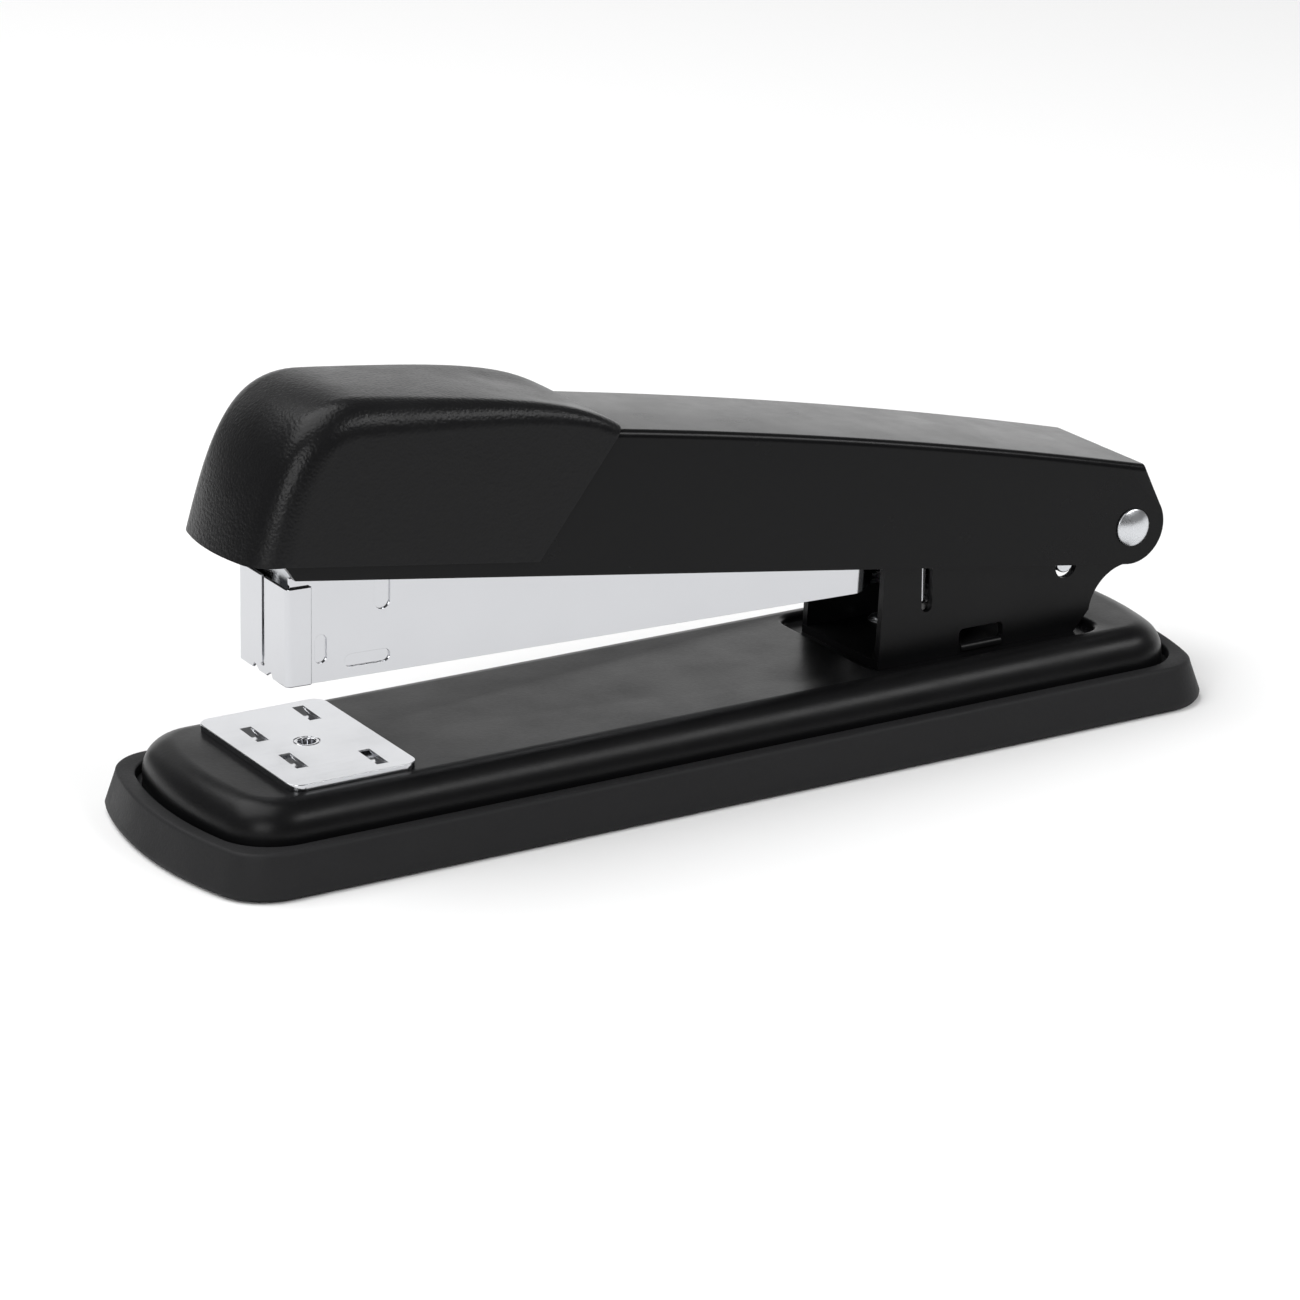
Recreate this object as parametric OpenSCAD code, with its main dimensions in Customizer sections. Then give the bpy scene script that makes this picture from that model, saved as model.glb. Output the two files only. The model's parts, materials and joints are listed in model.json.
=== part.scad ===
// Full-strip desk stapler.
// Distances along X are measured back from the front end of the sole, and the whole
// model is then moved so that its origin is the centre of the sole's underside.
// +Z is up, the front points along -X, and the stapler is symmetric about Y = 0.
// Lengths are millimetres and angles are degrees.

/* [Sole] */
// Length of the rubber sole over its bowed ends
base_l = 171.2; // [160:0.1:210]
// Width of the rubber sole
base_w = 50.3; // [46:0.1:62]
// Radius of the sole's corners in plan
base_corner_r = 8.8; // [7:0.1:12]
// How far each end of the sole bows out past its corners
base_end_bow = 5; // [3:0.1:7]
// Height of the sole's rim
sole_h = 6.6; // [5.5:0.1:8]
// Inward slope of the sole's side from bottom to top
sole_draft = 1.8; // [0.5:0.1:2.5]
// Small rounding at the foot and the lip of the sole's side
sole_lip = 0.5; // [0.2:0.1:0.8]
// Thickness of the sole's floor
sole_floor = 2.2; // [1.6:0.1:3]
// Width of the groove between the sole's rim and the steel base
groove_w = 0.9; // [0.4:0.1:1.4]
// Depth of that groove
groove_depth = 1.6; // [0.5:0.1:2.5]

/* [Steel base] */
// Height of the steel base's flat top above the table
deck_z = 11.7; // [10.5:0.1:14]
// Distance from the sole's outer edge in to the steel base's side
plate_inset = 4.9; // [4:0.1:7]
// Radius of the steel base's corners in plan
plate_corner_r = 9; // [7:0.1:11]
// Radius of the rounding between the steel base's side and top
plate_edge_r = 4.7; // [3:0.1:6]
// Sheet thickness of the steel base
plate_t = 1.2; // [0.8:0.1:1.6]
// Depth of the pressed recess that the bracket sits in
recess_depth = 1.4; // [0.8:0.1:2]
// Room between the bracket and the front and rear ends of the recess
recess_gap_x = 2.5; // [1.5:0.1:6]
// Room between the bracket and the sides of the recess
recess_gap_y = 3.8; // [2:0.1:5]
// Corner radius of the recess
recess_r = 3.5; // [2:0.1:6]

/* [Anvil] */
// How far in front of the driver blade the middle of the staple grooves lies
groove_lead = 0.2; // [0:0.05:0.6]
// Length of the anvil plate, front to rear
anvil_l = 20; // [17:0.1:24]
// Thickness of the anvil plate
anvil_t = 1; // [0.8:0.1:1.4]
// Corner radius of the anvil plate
anvil_r = 2.2; // [1:0.1:4]
// Distance from the turning axis to each pair of staple grooves
groove_offset = 5.2; // [4.5:0.1:6.5]
// Width of a staple groove
staple_groove_w = 1.8; // [1.2:0.1:2.2]
// Length of a staple groove
staple_groove_l = 6.4; // [4:0.1:7]
// Depth of a staple groove
staple_groove_depth = 0.55; // [0.3:0.05:0.7]
// How far out the middle of each pinning groove lies past the staple's leg
pinning_shift = 4.2; // [3:0.1:5]
// Radius of the anvil post where it turns in the steel base
post_r = 2.4; // [2:0.1:3]
// Radius of the blind hole in the top of the anvil post
post_dimple_r = 1.3; // [0.8:0.1:1.6]
// Radius of the release button under the sole
button_r = 6; // [5:0.1:8]
// Height of the button's underside above the table
button_z = 0.7; // [0.4:0.1:1]
// Thickness of the button's disc
button_t = 2; // [1.5:0.1:3]
// Wire radius of the anvil spring
anvil_wire_r = 0.4; // [0.3:0.05:0.6]

/* [Bracket] */
// Room between the magazine and each wall of the bracket
bracket_gap = 2.25; // [1.8:0.05:3]
// Sheet thickness of the bracket
bracket_t = 1.2; // [1:0.1:1.6]
// Length of the bracket's floor
bracket_floor_l = 35.5; // [32:0.1:40]
// How far the front edge of a wall leans back over its height
bracket_lean = 1.5; // [0:0.1:3]
// Height of the bracket's front top corner above the pivot
bracket_rise = 7.65; // [6:0.05:9]
// Radius of the bracket's ear about the pivot
bracket_ear_r = 5.6; // [4.5:0.1:5.8]
// Radius of the hollow curve in the wall's rear edge
bracket_hollow_r = 7.4; // [6:0.1:9]
// Distance from the bracket's front edge to the middle of the stop slot
stop_x = 8.55; // [7:0.1:12]
// Width of the stop slot
stop_slot_w = 1.9; // [1.8:0.1:2.4]
// Distance from the pivot down to the stop slot's lower end
stop_slot_drop = 7.85; // [7:0.05:9]
// Length of the window low in each wall
window_l = 7.9; // [5:0.1:10]
// Height of the window
window_h = 2.8; // [2:0.1:4]
// Distance from the bracket's front edge to the window
window_x = 14.5; // [12:0.1:18]
// Radius of the hole for the spring pin
spring_hole_r = 1.9; // [1.7:0.1:2.2]
// Radius of the spring pin
spring_pin_r = 1.5; // [1.2:0.1:1.6]
// Distance from the pivot forward to the spring pin
spring_pin_dx = 11; // [10:0.1:13]
// Distance from the pivot down to the spring pin
spring_pin_dz = 4.85; // [4.5:0.1:6]
// Radius of a bracket rivet's shank
rivet_r = 1.5; // [1.2:0.1:2]
// Radius of a bracket rivet's head
rivet_head_r = 2.4; // [2:0.1:2.6]
// Height of a bracket rivet's head
rivet_head_h = 0.9; // [0.5:0.1:1.2]
// Distance from a rivet's middle to the bracket's wall
rivet_wall_gap = 3; // [2.6:0.1:4]
// Distance from the front rivets to the front of the bracket's floor
rivet_front_gap = 12; // [4:0.1:14]
// Distance from the rear rivets to the rear of the bracket's floor
rivet_rear_gap = 4.2; // [3:0.1:6]

/* [Pivot] */
// Distance from the sole's rear end forward to the pivot
pivot_inset = 11; // [9:0.1:14]
// Distance from the bracket's front edge back to the pivot
pivot_dx = 44.8; // [43:0.1:50]
// Height of the pivot above the table
pivot_z = 25.95; // [25:0.05:31.2]
// Radius of the pivot pin's shank
pivot_r = 2; // [1.6:0.1:2.2]
// Radius of the pivot pin's domed heads
pivot_head_r = 2.92; // [2.6:0.02:3.4]
// Height of the pivot pin's domed heads
pivot_head_h = 1.1; // [0.8:0.1:1.5]
// Running clearance on the radius of the pivot pin
pivot_fit = 0.06; // [0.03:0.01:0.1]

/* [Magazine] */
// Inside width of the magazine, which takes a 24/6 staple
channel_in_w = 13.1; // [10.9:0.1:15.8]
// Sheet thickness of the magazine
channel_t = 0.6; // [0.5:0.1:0.8]
// Depth of the marks pressed into the magazine's walls
mark_depth = 0.3; // [0.1:0.05:0.4]
// Height of the magazine's walls
channel_h = 15.8; // [14:0.1:16.5]
// Distance from the pivot down to the magazine's underside
channel_drop = 5.34; // [5:0.02:6]
// Angle that the magazine's front is raised at rest
magazine_tilt = 1.4; // [0.8:0.1:2.5]
// Distance from the sole's front end to the front of the nose
nose_x = 19.3; // [18.5:0.1:21]
// Sheet thickness of the nose
nose_t = 0.5; // [0.4:0.1:0.8]
// Height of the nose
nose_h = 14.4; // [13:0.1:15.5]
// How far the nose wraps back along the magazine's sides
nose_wrap = 3.9; // [3:0.1:4.2]
// Width of the slit between the nose's two flanges
nose_slit = 0.9; // [0.3:0.1:1.2]
// Front-to-rear room for the driver blade behind the nose
driver_room = 1.5; // [1.4:0.1:2]
// Height of a staple's legs
staple_leg = 6; // [6:0.5:8]
// Thickness of the staple rail's sheet
rail_t = 0.6; // [0.5:0.1:0.8]
// Gap between the staple rail and the magazine's walls
leg_gap = 0.95; // [0.8:0.05:1.2]
// Radius of the stop pin
stop_pin_r = 0.75; // [0.6:0.05:0.85]
// Length of the follower
follower_l = 9; // [7:0.5:12]
// Clearance of the follower round the staple rail
follower_gap = 0.15; // [0.1:0.01:0.25]
// Radius of the follower's guide rod
rod_r = 1; // [0.8:0.1:1.2]
// Number of turns in the follower's spring
follower_turns = 28; // [16:1:34]
// Wire radius of the follower's spring
follower_wire_r = 0.2; // [0.15:0.01:0.25]

/* [Arm] */
// Room between the bracket and each wall of the arm
arm_gap = 0.63; // [0.4:0.01:1]
// Sheet thickness of the arm
arm_t = 1; // [0.8:0.1:1.2]
// Slope of the arm's lower edge
arm_tilt = 8.5; // [7.5:0.1:9.5]
// Radius of the arm's rounded rear end about the pivot
arm_ear_r = 5.85; // [5.8:0.05:7]
// Distance from the sole's front end to the arm's front lower corner
arm_front_x = 18.7; // [17:0.1:20]
// Height of the arm's rear top edge above the pivot
arm_rear_dz = 9.5; // [9:0.1:11]
// Distance of the arm's rear top edge behind the pivot
arm_rear_dx = 2.3; // [1:0.1:4]
// Slope of the arm's top at its rear end, as rise over run
arm_slope = 0.257; // [0.22:0.001:0.29]
// How fast that slope flattens towards the front, per millimetre
arm_curve = 0.0005; // [0.0003:0.00005:0.0007]
// Gap between the driver blade and each wall of the magazine
driver_gap = 0.2; // [0.1:0.05:0.4]
// Thickness of the driver blade
driver_t = 0.6; // [0.5:0.1:0.8]
// Thickness of the driver's leaf spring
leaf_t = 0.5; // [0.4:0.1:0.8]
// Width of the driver's leaf spring
leaf_w = 10; // [7:0.5:12]

/* [Cap] */
// Thickness of the cap's side walls outside the arm
cap_side_t = 0.97; // [0.7:0.01:1.6]
// Distance from the sole's front end to the cap's lower front edge
cap_front_x = 11.3; // [11:0.1:13]
// Distance from the sole's front end to the cap's rear top edge
cap_rear_x = 71.8; // [68:0.1:76]
// Distance from the sole's front end to the cap's rear lower corner
cap_lower_rear_x = 56.5; // [52:0.1:60]
// Height of the cap's top behind its front curve, above the arm's top
cap_rise = 4.3; // [3:0.1:5]
// Height of the cap's rear top edge above the arm's top
cap_step = 0.8; // [0.6:0.1:1.2]
// Distance from the arm's lower edge up to the cap's lower edge
cap_lift = 2.4; // [1:0.1:3]
// Wall thickness of the cap's top and front
cap_t = 1.6; // [1.2:0.1:2]
// Distance from the cap's lower front edge back to the front of its top
cap_front_run = 20; // [15:0.1:24.5]
// Pull of the cap's front curve, upward from its lower edge
cap_cheek = 12.2; // [9:0.1:14]
// Pull of the cap's front curve, forward from its top
cap_brow = 13; // [9:0.1:16]
// Radius of the cap's upright front corners
cap_corner_r = 6; // [4.5:0.1:7.5]
// Radius of the cap's long top edges at the front
cap_edge_r = 5; // [4:0.1:6.2]
// Radius of the cap's long top edges at the rear
cap_rear_edge_r = 2; // [1:0.1:3]
// Angle at which the cap's front leans back from the upright at its lower edge
cap_lean = 17; // [10:1:25]
// Radius of the bow of the cap's front, seen from above
cap_bow_r = 37; // [25:1:80]
// Radius of the slight crown across the cap's top
cap_crown_r = 220; // [100:10:600]

/* [Hidden] */

$fn = 64;

// Clearances and small cutting allowances
seat_fit = 0.02;
drop_in_fit = 0.1;
slide_fit = 0.05;
over = 1;
thin = 0.01;

// Widths, from the magazine outward
channel_w = channel_in_w + 2 * channel_t;
bracket_in_w = channel_w + 2 * bracket_gap;
bracket_w = bracket_in_w + 2 * bracket_t;
arm_in_w = bracket_w + 2 * arm_gap;
arm_w = arm_in_w + 2 * arm_t;
cap_w = arm_w + 2 * cap_side_t;

// Sole and steel base
bow_r = (pow(base_w / 2, 2) + pow(base_end_bow, 2)) / (2 * base_end_bow);
recess_z = deck_z - recess_depth;
plate_edge_steps = 6;
end_steps = 6;
corner_steps = 8;

// Bracket, in distances from the front end of the sole
pivot_x = base_l - pivot_inset;
bracket_x = pivot_x - pivot_dx;
bracket_top_z = pivot_z + bracket_rise;
stop_slot_z = pivot_z - stop_slot_drop;
bracket_floor_z = recess_z + bracket_t;
bracket_end_x = bracket_x + bracket_floor_l;
slot_x = bracket_x + stop_x;
spring_pin_x = pivot_x - spring_pin_dx;
spring_pin_z = pivot_z - spring_pin_dz;
spring_hang_z = spring_pin_z + spring_hole_r - spring_pin_r;
return_t = 0.7;
return_w = 8;
return_heel_dx = 14;
return_tip_dx = 2;
hook_top_angle = 110;
hook_step_angle = 25;
bush_wall = 1.4;
washer_wall = 2;
ear_neck = 0.65;
hollow_dx = 0.8;
hollow_x = pivot_x + hollow_dx;
hollow_z = pivot_z - bracket_ear_r - bracket_hollow_r - ear_neck;
rivet_front_x = bracket_x + rivet_front_gap;
rivet_rear_x = bracket_end_x - rivet_rear_gap;
rivet_y = bracket_in_w / 2 - rivet_wall_gap;
bar_gap = 0.1;
bar_foot_gap = 0.3;
bar_eye_r = 1.6;
tab_r = 0.7;
window_corner_r = 0.8;
pin_setback = 0.2;
stop_pin_proud = 0.3;
tab_x = bracket_x + window_x + tab_r / 2;

// Driver blade, which sets where the anvil's grooves lie
blade_play = 0.25;
driver_x = nose_x + nose_t + driver_room / 2 + blade_play;
driver_w = channel_in_w - 2 * driver_gap;
drive_stroke = 3.2;
rivet_shank_r = 1.2;

// Anvil stack
anvil_x = driver_x - groove_lead + groove_offset;
anvil_w = base_w - 2 * (plate_inset + plate_edge_r);
anvil_top_z = deck_z + anvil_t;
leg_inset = 0.35;
post_shank = 0.5;
dimple_depth = 1.6;
post_neck_r = post_r - post_shank;
button_top_z = button_z + button_t;
post_setback = 0.5;
post_end_z = button_z + post_setback;
button_gap = 0.4;
hub_h = 2.2;
hub_wall = 1.7;
hub_r = post_r + hub_wall;
post_foot_z = button_top_z + hub_h;
anvil_coil_gap = 0.3;
anvil_coil_r = post_r + anvil_coil_gap + 2 * anvil_wire_r;
anvil_turns = 4;

// Magazine, drawn level and then tilted about the pivot
channel_z = pivot_z - channel_drop;
channel_top_z = channel_z + channel_h;
nose_gap = 0.2;
channel_x = nose_x + nose_t + nose_gap;
rail_play = 0.3;
staple_x = nose_x + nose_t + driver_room + rail_play;
heel_gap = 1.9;
channel_floor_end_x = bracket_x - heel_gap;
channel_heel_r = 3;
tail_rise = 3.8;
tail_z = channel_z + tail_rise;
tail_ear_r = 4.6;
tail_end_x = channel_floor_end_x + channel_heel_r;
rail_w = channel_in_w - 2 * leg_gap;
rail_z = channel_z + channel_t;
crown_gap = 0.2;
rail_top_z = rail_z + staple_leg - crown_gap;
rail_end_dx = 17;
rail_end_x = pivot_x - rail_end_dx;
bulkhead_t = 1;
bulkhead_x = rail_end_x + seat_fit;
bulkhead_rise = 3;
rod_rise = 2.3;
rod_z = rail_z + rail_t + rod_rise;
coil_gap = 0.35;
coil_r = rod_r + coil_gap + follower_wire_r;
follower_gap_x = 0.2;
follower_x = staple_x + follower_gap_x;
follower_rise = 1.4;
follower_end_x = follower_x + follower_l;
stop_pin_rise = 2.4;
stop_pin_z = rail_top_z + stop_pin_rise;
stop_pin_play = 0.25;
nose_bridge = 1.3;
nose_corner_r = 0.8;
nose_notch_y = 1.2;
nose_notch_w = 3.2;
nose_notch_h = 1.1;
nose_notch_angle = 32;
rail_rivet_r = 1;
rail_rivet_front_dx = 22;
rail_rivet_rear_dx = 8;
mark_w = 1.9;
upper_mark_w = 2.5;
upper_mark_dx = 15.1;
upper_mark_rise = 10.6;
oval_mark_dx = 5.5;
oval_mark_z = [3.7, 6];
groove_mark_dx = 10.2;
groove_mark_rise = 2.5;
groove_mark_l = 5.2;
rail_rivet_y = rail_w / 3;
slot_top_z = pivot_z + (stop_pin_z - pivot_z) * cos(magazine_tilt)
  + (pivot_x - slot_x) * sin(magazine_tilt) - (stop_slot_w / 2 - stop_pin_r) + stop_pin_play;

// Arm, drawn at rest
arm_rear_x = pivot_x + arm_rear_dx;
arm_rear_z = pivot_z + arm_rear_dz;
arm_step_x = 8;
arm_brow = [4, 3.2];
arm_cheek = [2.6, 9];
arm_lip_dx = 0.2;
cap_rake_dx = 1.5;
cap_rake_h = 2;
ear_blend = 0.06;
rear_a = atan2(arm_rear_dz, arm_rear_dx) - acos(arm_ear_r / norm([arm_rear_dx, arm_rear_dz]));
cap_front_top_x = cap_front_x + cap_front_run;
cap_curl_steps = 9;
cap_fall = 6;
cap_lip_z = arm_bottom(arm_front_x) + cap_lift;
cap_foot_z = arm_bottom(cap_rear_x) - over;
cap_top_steps = 8;

function arm_top(x) = arm_rear_z + arm_slope * (arm_rear_x - x) - arm_curve * pow(arm_rear_x - x, 2);
function arm_top_angle(x) = atan(arm_slope - 2 * arm_curve * (arm_rear_x - x));
function arm_bottom(x) = pivot_z - (arm_ear_r - ear_blend) / cos(arm_tilt) + tan(arm_tilt) * (pivot_x - x);
function reversed(list) = [for (i = [len(list) - 1:-1:0]) list[i]];

// Half of a bowed end with a rounded corner, from the middle round to the side at y = half.
// Each entry is [x, y, angle], where angle turns from 0 at the middle to 90 at the side.
function bowed_end(half, end_r, r) =
  let (
    sweep = asin((half - r) / (end_r - r)),
    corner_x = end_r - sqrt(pow(end_r - r, 2) - pow(half - r, 2))
  )
  concat(
    [for (i = [0:end_steps])
      let (a = sweep * i / end_steps)
      [end_r - end_r * cos(a), end_r * sin(a), a]],
    [for (i = [1:corner_steps])
      let (a = sweep + (90 - sweep) * i / corner_steps)
      [corner_x - r * cos(a), half - r + r * sin(a), a]]
  );

function quarter(inset, r) =
  [for (p = bowed_end(base_w / 2 - inset, bow_r - inset, r)) [p[0] + inset, p[1]]];

// The whole outline of the sole, drawn in by inset, with corners of radius r
function outline(inset, r) =
  let (
    q = quarter(inset, r),
    far_side = concat(q, reversed([for (p = q) [base_l - p[0], p[1]]])),
    near_side = reversed([for (p = far_side) [p[0], -p[1]]])
  )
  concat(far_side, [for (i = [1:len(near_side) - 2]) near_side[i]]);

module placed() {
  translate([-base_l / 2, 0, 0]) children();
}

// Turns what is drawn level about the pivot, front up
module tilted(angle) {
  translate([pivot_x, 0, pivot_z]) rotate([0, angle, 0]) translate([-pivot_x, 0, -pivot_z]) children();
}

// A plate drawn in the XZ plane, from y0 to y1
module slab_y(y0, y1) {
  translate([0, y1, 0]) rotate([90, 0, 0]) linear_extrude(y1 - y0) children();
}

// The same plate on both sides, its outer face at distance outer from the middle
module both_walls(outer, t) {
  slab_y(outer - t, outer) children();
  slab_y(-outer, t - outer) children();
}

module hole_y(x, z, r) {
  translate([x, base_w / 2, z]) rotate([90, 0, 0]) cylinder(r = r, h = base_w);
}

// A closed skin over rings of points that start at the middle of the front end and go round
// clockwise, seen from above. The top face joins each point to the one across from it.
module loft(rings) {
  n = len(rings[0]);
  last = len(rings) - 1;
  top = last * n;
  points = [for (ring = rings, p = ring) p];
  faces = concat(
    [for (k = [0:last - 1], j = [0:n - 1])
      [k * n + j, k * n + (j + 1) % n, (k + 1) * n + j]],
    [for (k = [0:last - 1], j = [0:n - 1])
      [(k + 1) * n + j, k * n + (j + 1) % n, (k + 1) * n + (j + 1) % n]],
    [[for (j = [n - 1:-1:0]) j]],
    [[top, top + 1, top + n - 1]],
    [for (j = [1:floor((n - 1) / 2) - 1]) [top + j, top + j + 1, top + n - j - 1, top + n - j]],
    n % 2 == 0 ? [[top + n / 2 - 1, top + n / 2, top + n / 2 + 1]] : []
  );
  polyhedron(points, faces, convexity = 10);
}

// The sole's outline at one height, for a loft
function ring(z, inset, r) = [for (p = outline(inset, r)) [p[0], p[1], z]];

// The outline of a bent strip of thickness t along a line of points
function ribbon(points, t) =
  let (
    last = len(points) - 1,
    side = [for (i = [0:last])
      let (d = points[min(i + 1, last)] - points[max(i - 1, 0)])
      [-d[1], d[0]] / norm(d) * t / 2]
  )
  concat([for (i = [0:last]) points[i] + side[i]], [for (i = [last:-1:0]) points[i] - side[i]]);

module rounded_rect(l, w, r) {
  square([l - 2 * r, w], center = true);
  square([l, w - 2 * r], center = true);
  for (x = [-1, 1], y = [-1, 1]) {
    translate([x * (l / 2 - r), y * (w / 2 - r)]) circle(r);
  }
}

// An upright or level slot with round ends, drawn flat between two points
module slot_2d(p, q, w) {
  d = q - p;
  translate(p) rotate(atan2(d[1], d[0])) translate([0, -w / 2]) square([norm(d), w]);
  translate(p) circle(w / 2);
  translate(q) circle(w / 2);
}

// A coil along X from 0 to length, as one swept tube
module coil(r, wire_r, length, turns) {
  around = 10;
  sides = 4;
  rings = turns * around;
  points = [
    for (i = [0:rings], j = [0:sides - 1])
      let (a = 360 * i / around, b = 360 * j / sides, rr = r + wire_r * cos(b))
      [wire_r + (length - 2 * wire_r) * i / rings + wire_r * sin(b), rr * cos(a), rr * sin(a)]
  ];
  faces = concat(
    [for (i = [0:rings - 1], j = [0:sides - 1])
      [i * sides + j, (i + 1) * sides + j, i * sides + (j + 1) % sides]],
    [for (i = [0:rings - 1], j = [0:sides - 1])
      [(i + 1) * sides + j, (i + 1) * sides + (j + 1) % sides, i * sides + (j + 1) % sides]],
    [[for (j = [sides - 1:-1:0]) j]],
    [[for (j = [0:sides - 1]) rings * sides + j]]
  );
  polyhedron(points, faces, convexity = 10);
}

module sole() {
  color("#2c2c2e") placed() difference() {
    loft([
      ring(0, sole_lip, base_corner_r - sole_lip),
      ring(sole_lip, 0, base_corner_r),
      ring(sole_h - sole_lip, sole_draft, base_corner_r - sole_draft),
      ring(sole_h, sole_draft + sole_lip, base_corner_r - sole_draft - sole_lip)
    ]);
    translate([0, 0, sole_floor]) linear_extrude(sole_h)
      polygon(outline(plate_inset - drop_in_fit, plate_corner_r));
    translate([0, 0, sole_h - groove_depth]) linear_extrude(sole_h)
      polygon(outline(plate_inset - groove_w, plate_corner_r));
    translate([anvil_x, 0, -over]) cylinder(r = button_r + button_gap, h = sole_floor + 2 * over);
  }
}

// A slab with the steel base's outline and a rounded upper edge
module domed_slab(inset, z0, z1, edge_r) {
  corner_r = plate_corner_r - (inset - plate_inset);
  loft(concat(
    [ring(z0, inset, corner_r)],
    [for (i = [0:plate_edge_steps])
      let (a = 90 * i / plate_edge_steps, inward = edge_r * (1 - cos(a)))
      ring(z1 - edge_r * (1 - sin(a)), inset + inward, corner_r - inward)]
  ));
}

module recess_2d(grow) {
  l = bracket_floor_l + 2 * recess_gap_x + 2 * grow;
  w = bracket_w + 2 * recess_gap_y + 2 * grow;
  translate([bracket_x + bracket_floor_l / 2, 0]) rounded_rect(l, w, recess_r + grow);
}

module bracket_rivet_places() {
  for (x = [rivet_front_x, rivet_rear_x], y = [-1, 1]) {
    translate([x, y * rivet_y, 0]) children();
  }
}

module base_plate() {
  color("#1d1d1f") placed() difference() {
    domed_slab(plate_inset, sole_floor, deck_z, plate_edge_r);
    difference() {
      domed_slab(plate_inset + plate_t, sole_floor - over, deck_z - plate_t, plate_edge_r - plate_t);
      translate([0, 0, recess_z - plate_t]) linear_extrude(deck_z) recess_2d(plate_t);
    }
    translate([0, 0, recess_z]) linear_extrude(recess_depth + over) recess_2d(0);
    translate([anvil_x, 0, 0]) cylinder(r = post_r + slide_fit, h = deck_z + over);
    bracket_rivet_places() cylinder(r = rivet_r + seat_fit, h = deck_z);
  }
}

// A groove of depth d and length l across the anvil, cut by the side of a large cylinder
module staple_groove(x, y) {
  r = (pow(staple_groove_l / 2, 2) + pow(staple_groove_depth, 2)) / (2 * staple_groove_depth);
  translate([x - staple_groove_w / 2, y, anvil_top_z + r - staple_groove_depth])
    rotate([0, 90, 0]) cylinder(r = r, h = staple_groove_w, $fn = 128);
}

module anvil() {
  leg_y = channel_in_w / 2 - leg_inset;
  color("#d9dadc") placed() difference() {
    translate([anvil_x, 0, deck_z]) linear_extrude(anvil_t) rounded_rect(anvil_l, anvil_w, anvil_r);
    translate([anvil_x, 0, deck_z - over]) cylinder(r = post_neck_r + seat_fit, h = anvil_t + 2 * over);
    for (side = [-1, 1]) {
      staple_groove(anvil_x - groove_offset, side * leg_y);
      staple_groove(anvil_x + groove_offset, side * (leg_y + pinning_shift));
    }
  }
}

module anvil_post() {
  color("#c9cacc") placed() translate([anvil_x, 0, 0]) rotate_extrude() difference() {
    union() {
      translate([0, post_end_z]) square([post_neck_r, anvil_top_z - post_end_z]);
      translate([0, post_foot_z]) square([post_r, deck_z - post_foot_z]);
    }
    translate([0, anvil_top_z - dimple_depth]) square([post_dimple_r, dimple_depth + over]);
  }
}

module anvil_spring() {
  color("#b9babd") placed() translate([anvil_x, 0, post_foot_z]) rotate([0, -90, 0])
    coil(anvil_coil_r, anvil_wire_r, deck_z - plate_t - post_foot_z - drop_in_fit, anvil_turns);
}

module anvil_button() {
  color("#1b1b1c") placed() translate([anvil_x, 0, 0]) difference() {
    union() {
      translate([0, 0, button_z]) cylinder(r = button_r, h = button_t);
      translate([0, 0, button_top_z]) cylinder(r = hub_r, h = hub_h - seat_fit);
    }
    translate([0, 0, post_end_z - seat_fit]) cylinder(r = post_neck_r + seat_fit, h = post_foot_z);
  }
}

module bracket_side() {
  difference() {
    union() {
      polygon([
        [bracket_x, recess_z],
        [bracket_end_x, recess_z],
        [hollow_x - bracket_hollow_r, hollow_z + over],
        [pivot_x, hollow_z + over],
        [pivot_x, pivot_z + bracket_ear_r],
        [bracket_x + bracket_lean, bracket_top_z]
      ]);
      translate([pivot_x, pivot_z]) circle(bracket_ear_r);
    }
    translate([hollow_x, hollow_z]) circle(bracket_hollow_r);
    slot_2d([slot_x, stop_slot_z + stop_slot_w / 2], [slot_x, slot_top_z], stop_slot_w);
    translate([bracket_x + window_x + window_l / 2, bracket_floor_z + window_h / 2])
      rounded_rect(window_l, window_h, window_corner_r);
  }
}

module bracket() {
  color("#1b1b1d") placed() difference() {
    union() {
      both_walls(bracket_w / 2, bracket_t) bracket_side();
      translate([bracket_x, -bracket_w / 2, recess_z]) cube([bracket_floor_l, bracket_w, bracket_t]);
      for (side = [-1, 1]) {
        translate([tab_x, side * (bracket_w - tab_r) / 2, bracket_floor_z - tab_r / 2])
          rotate([0, 90, 0]) cylinder(r = tab_r, h = window_l - tab_r);
      }
    }
    hole_y(pivot_x, pivot_z, pivot_r + seat_fit);
    hole_y(spring_pin_x, spring_pin_z, spring_hole_r);
    bracket_rivet_places() cylinder(r = rivet_r + seat_fit, h = deck_z + over);
  }
}

module bracket_rivets() {
  foot_z = recess_z - plate_t;
  color("#a9abae") placed() bracket_rivet_places() {
    translate([0, 0, foot_z - rivet_head_h]) cylinder(r = rivet_head_r, h = rivet_head_h);
    translate([0, 0, foot_z - thin]) cylinder(r = rivet_r, h = bracket_floor_z - foot_z + 2 * thin);
    translate([0, 0, bracket_floor_z]) cylinder(r = rivet_head_r, h = rivet_head_h);
  }
}

// The spring pin hangs in the top of its holes, where the return spring pulls it
module spring_pin() {
  color("#cfd0d3") placed()
    translate([spring_pin_x, bracket_w / 2 - pin_setback, spring_hang_z - seat_fit])
    rotate([90, 0, 0]) cylinder(r = spring_pin_r, h = bracket_w - 2 * pin_setback);
}

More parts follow.
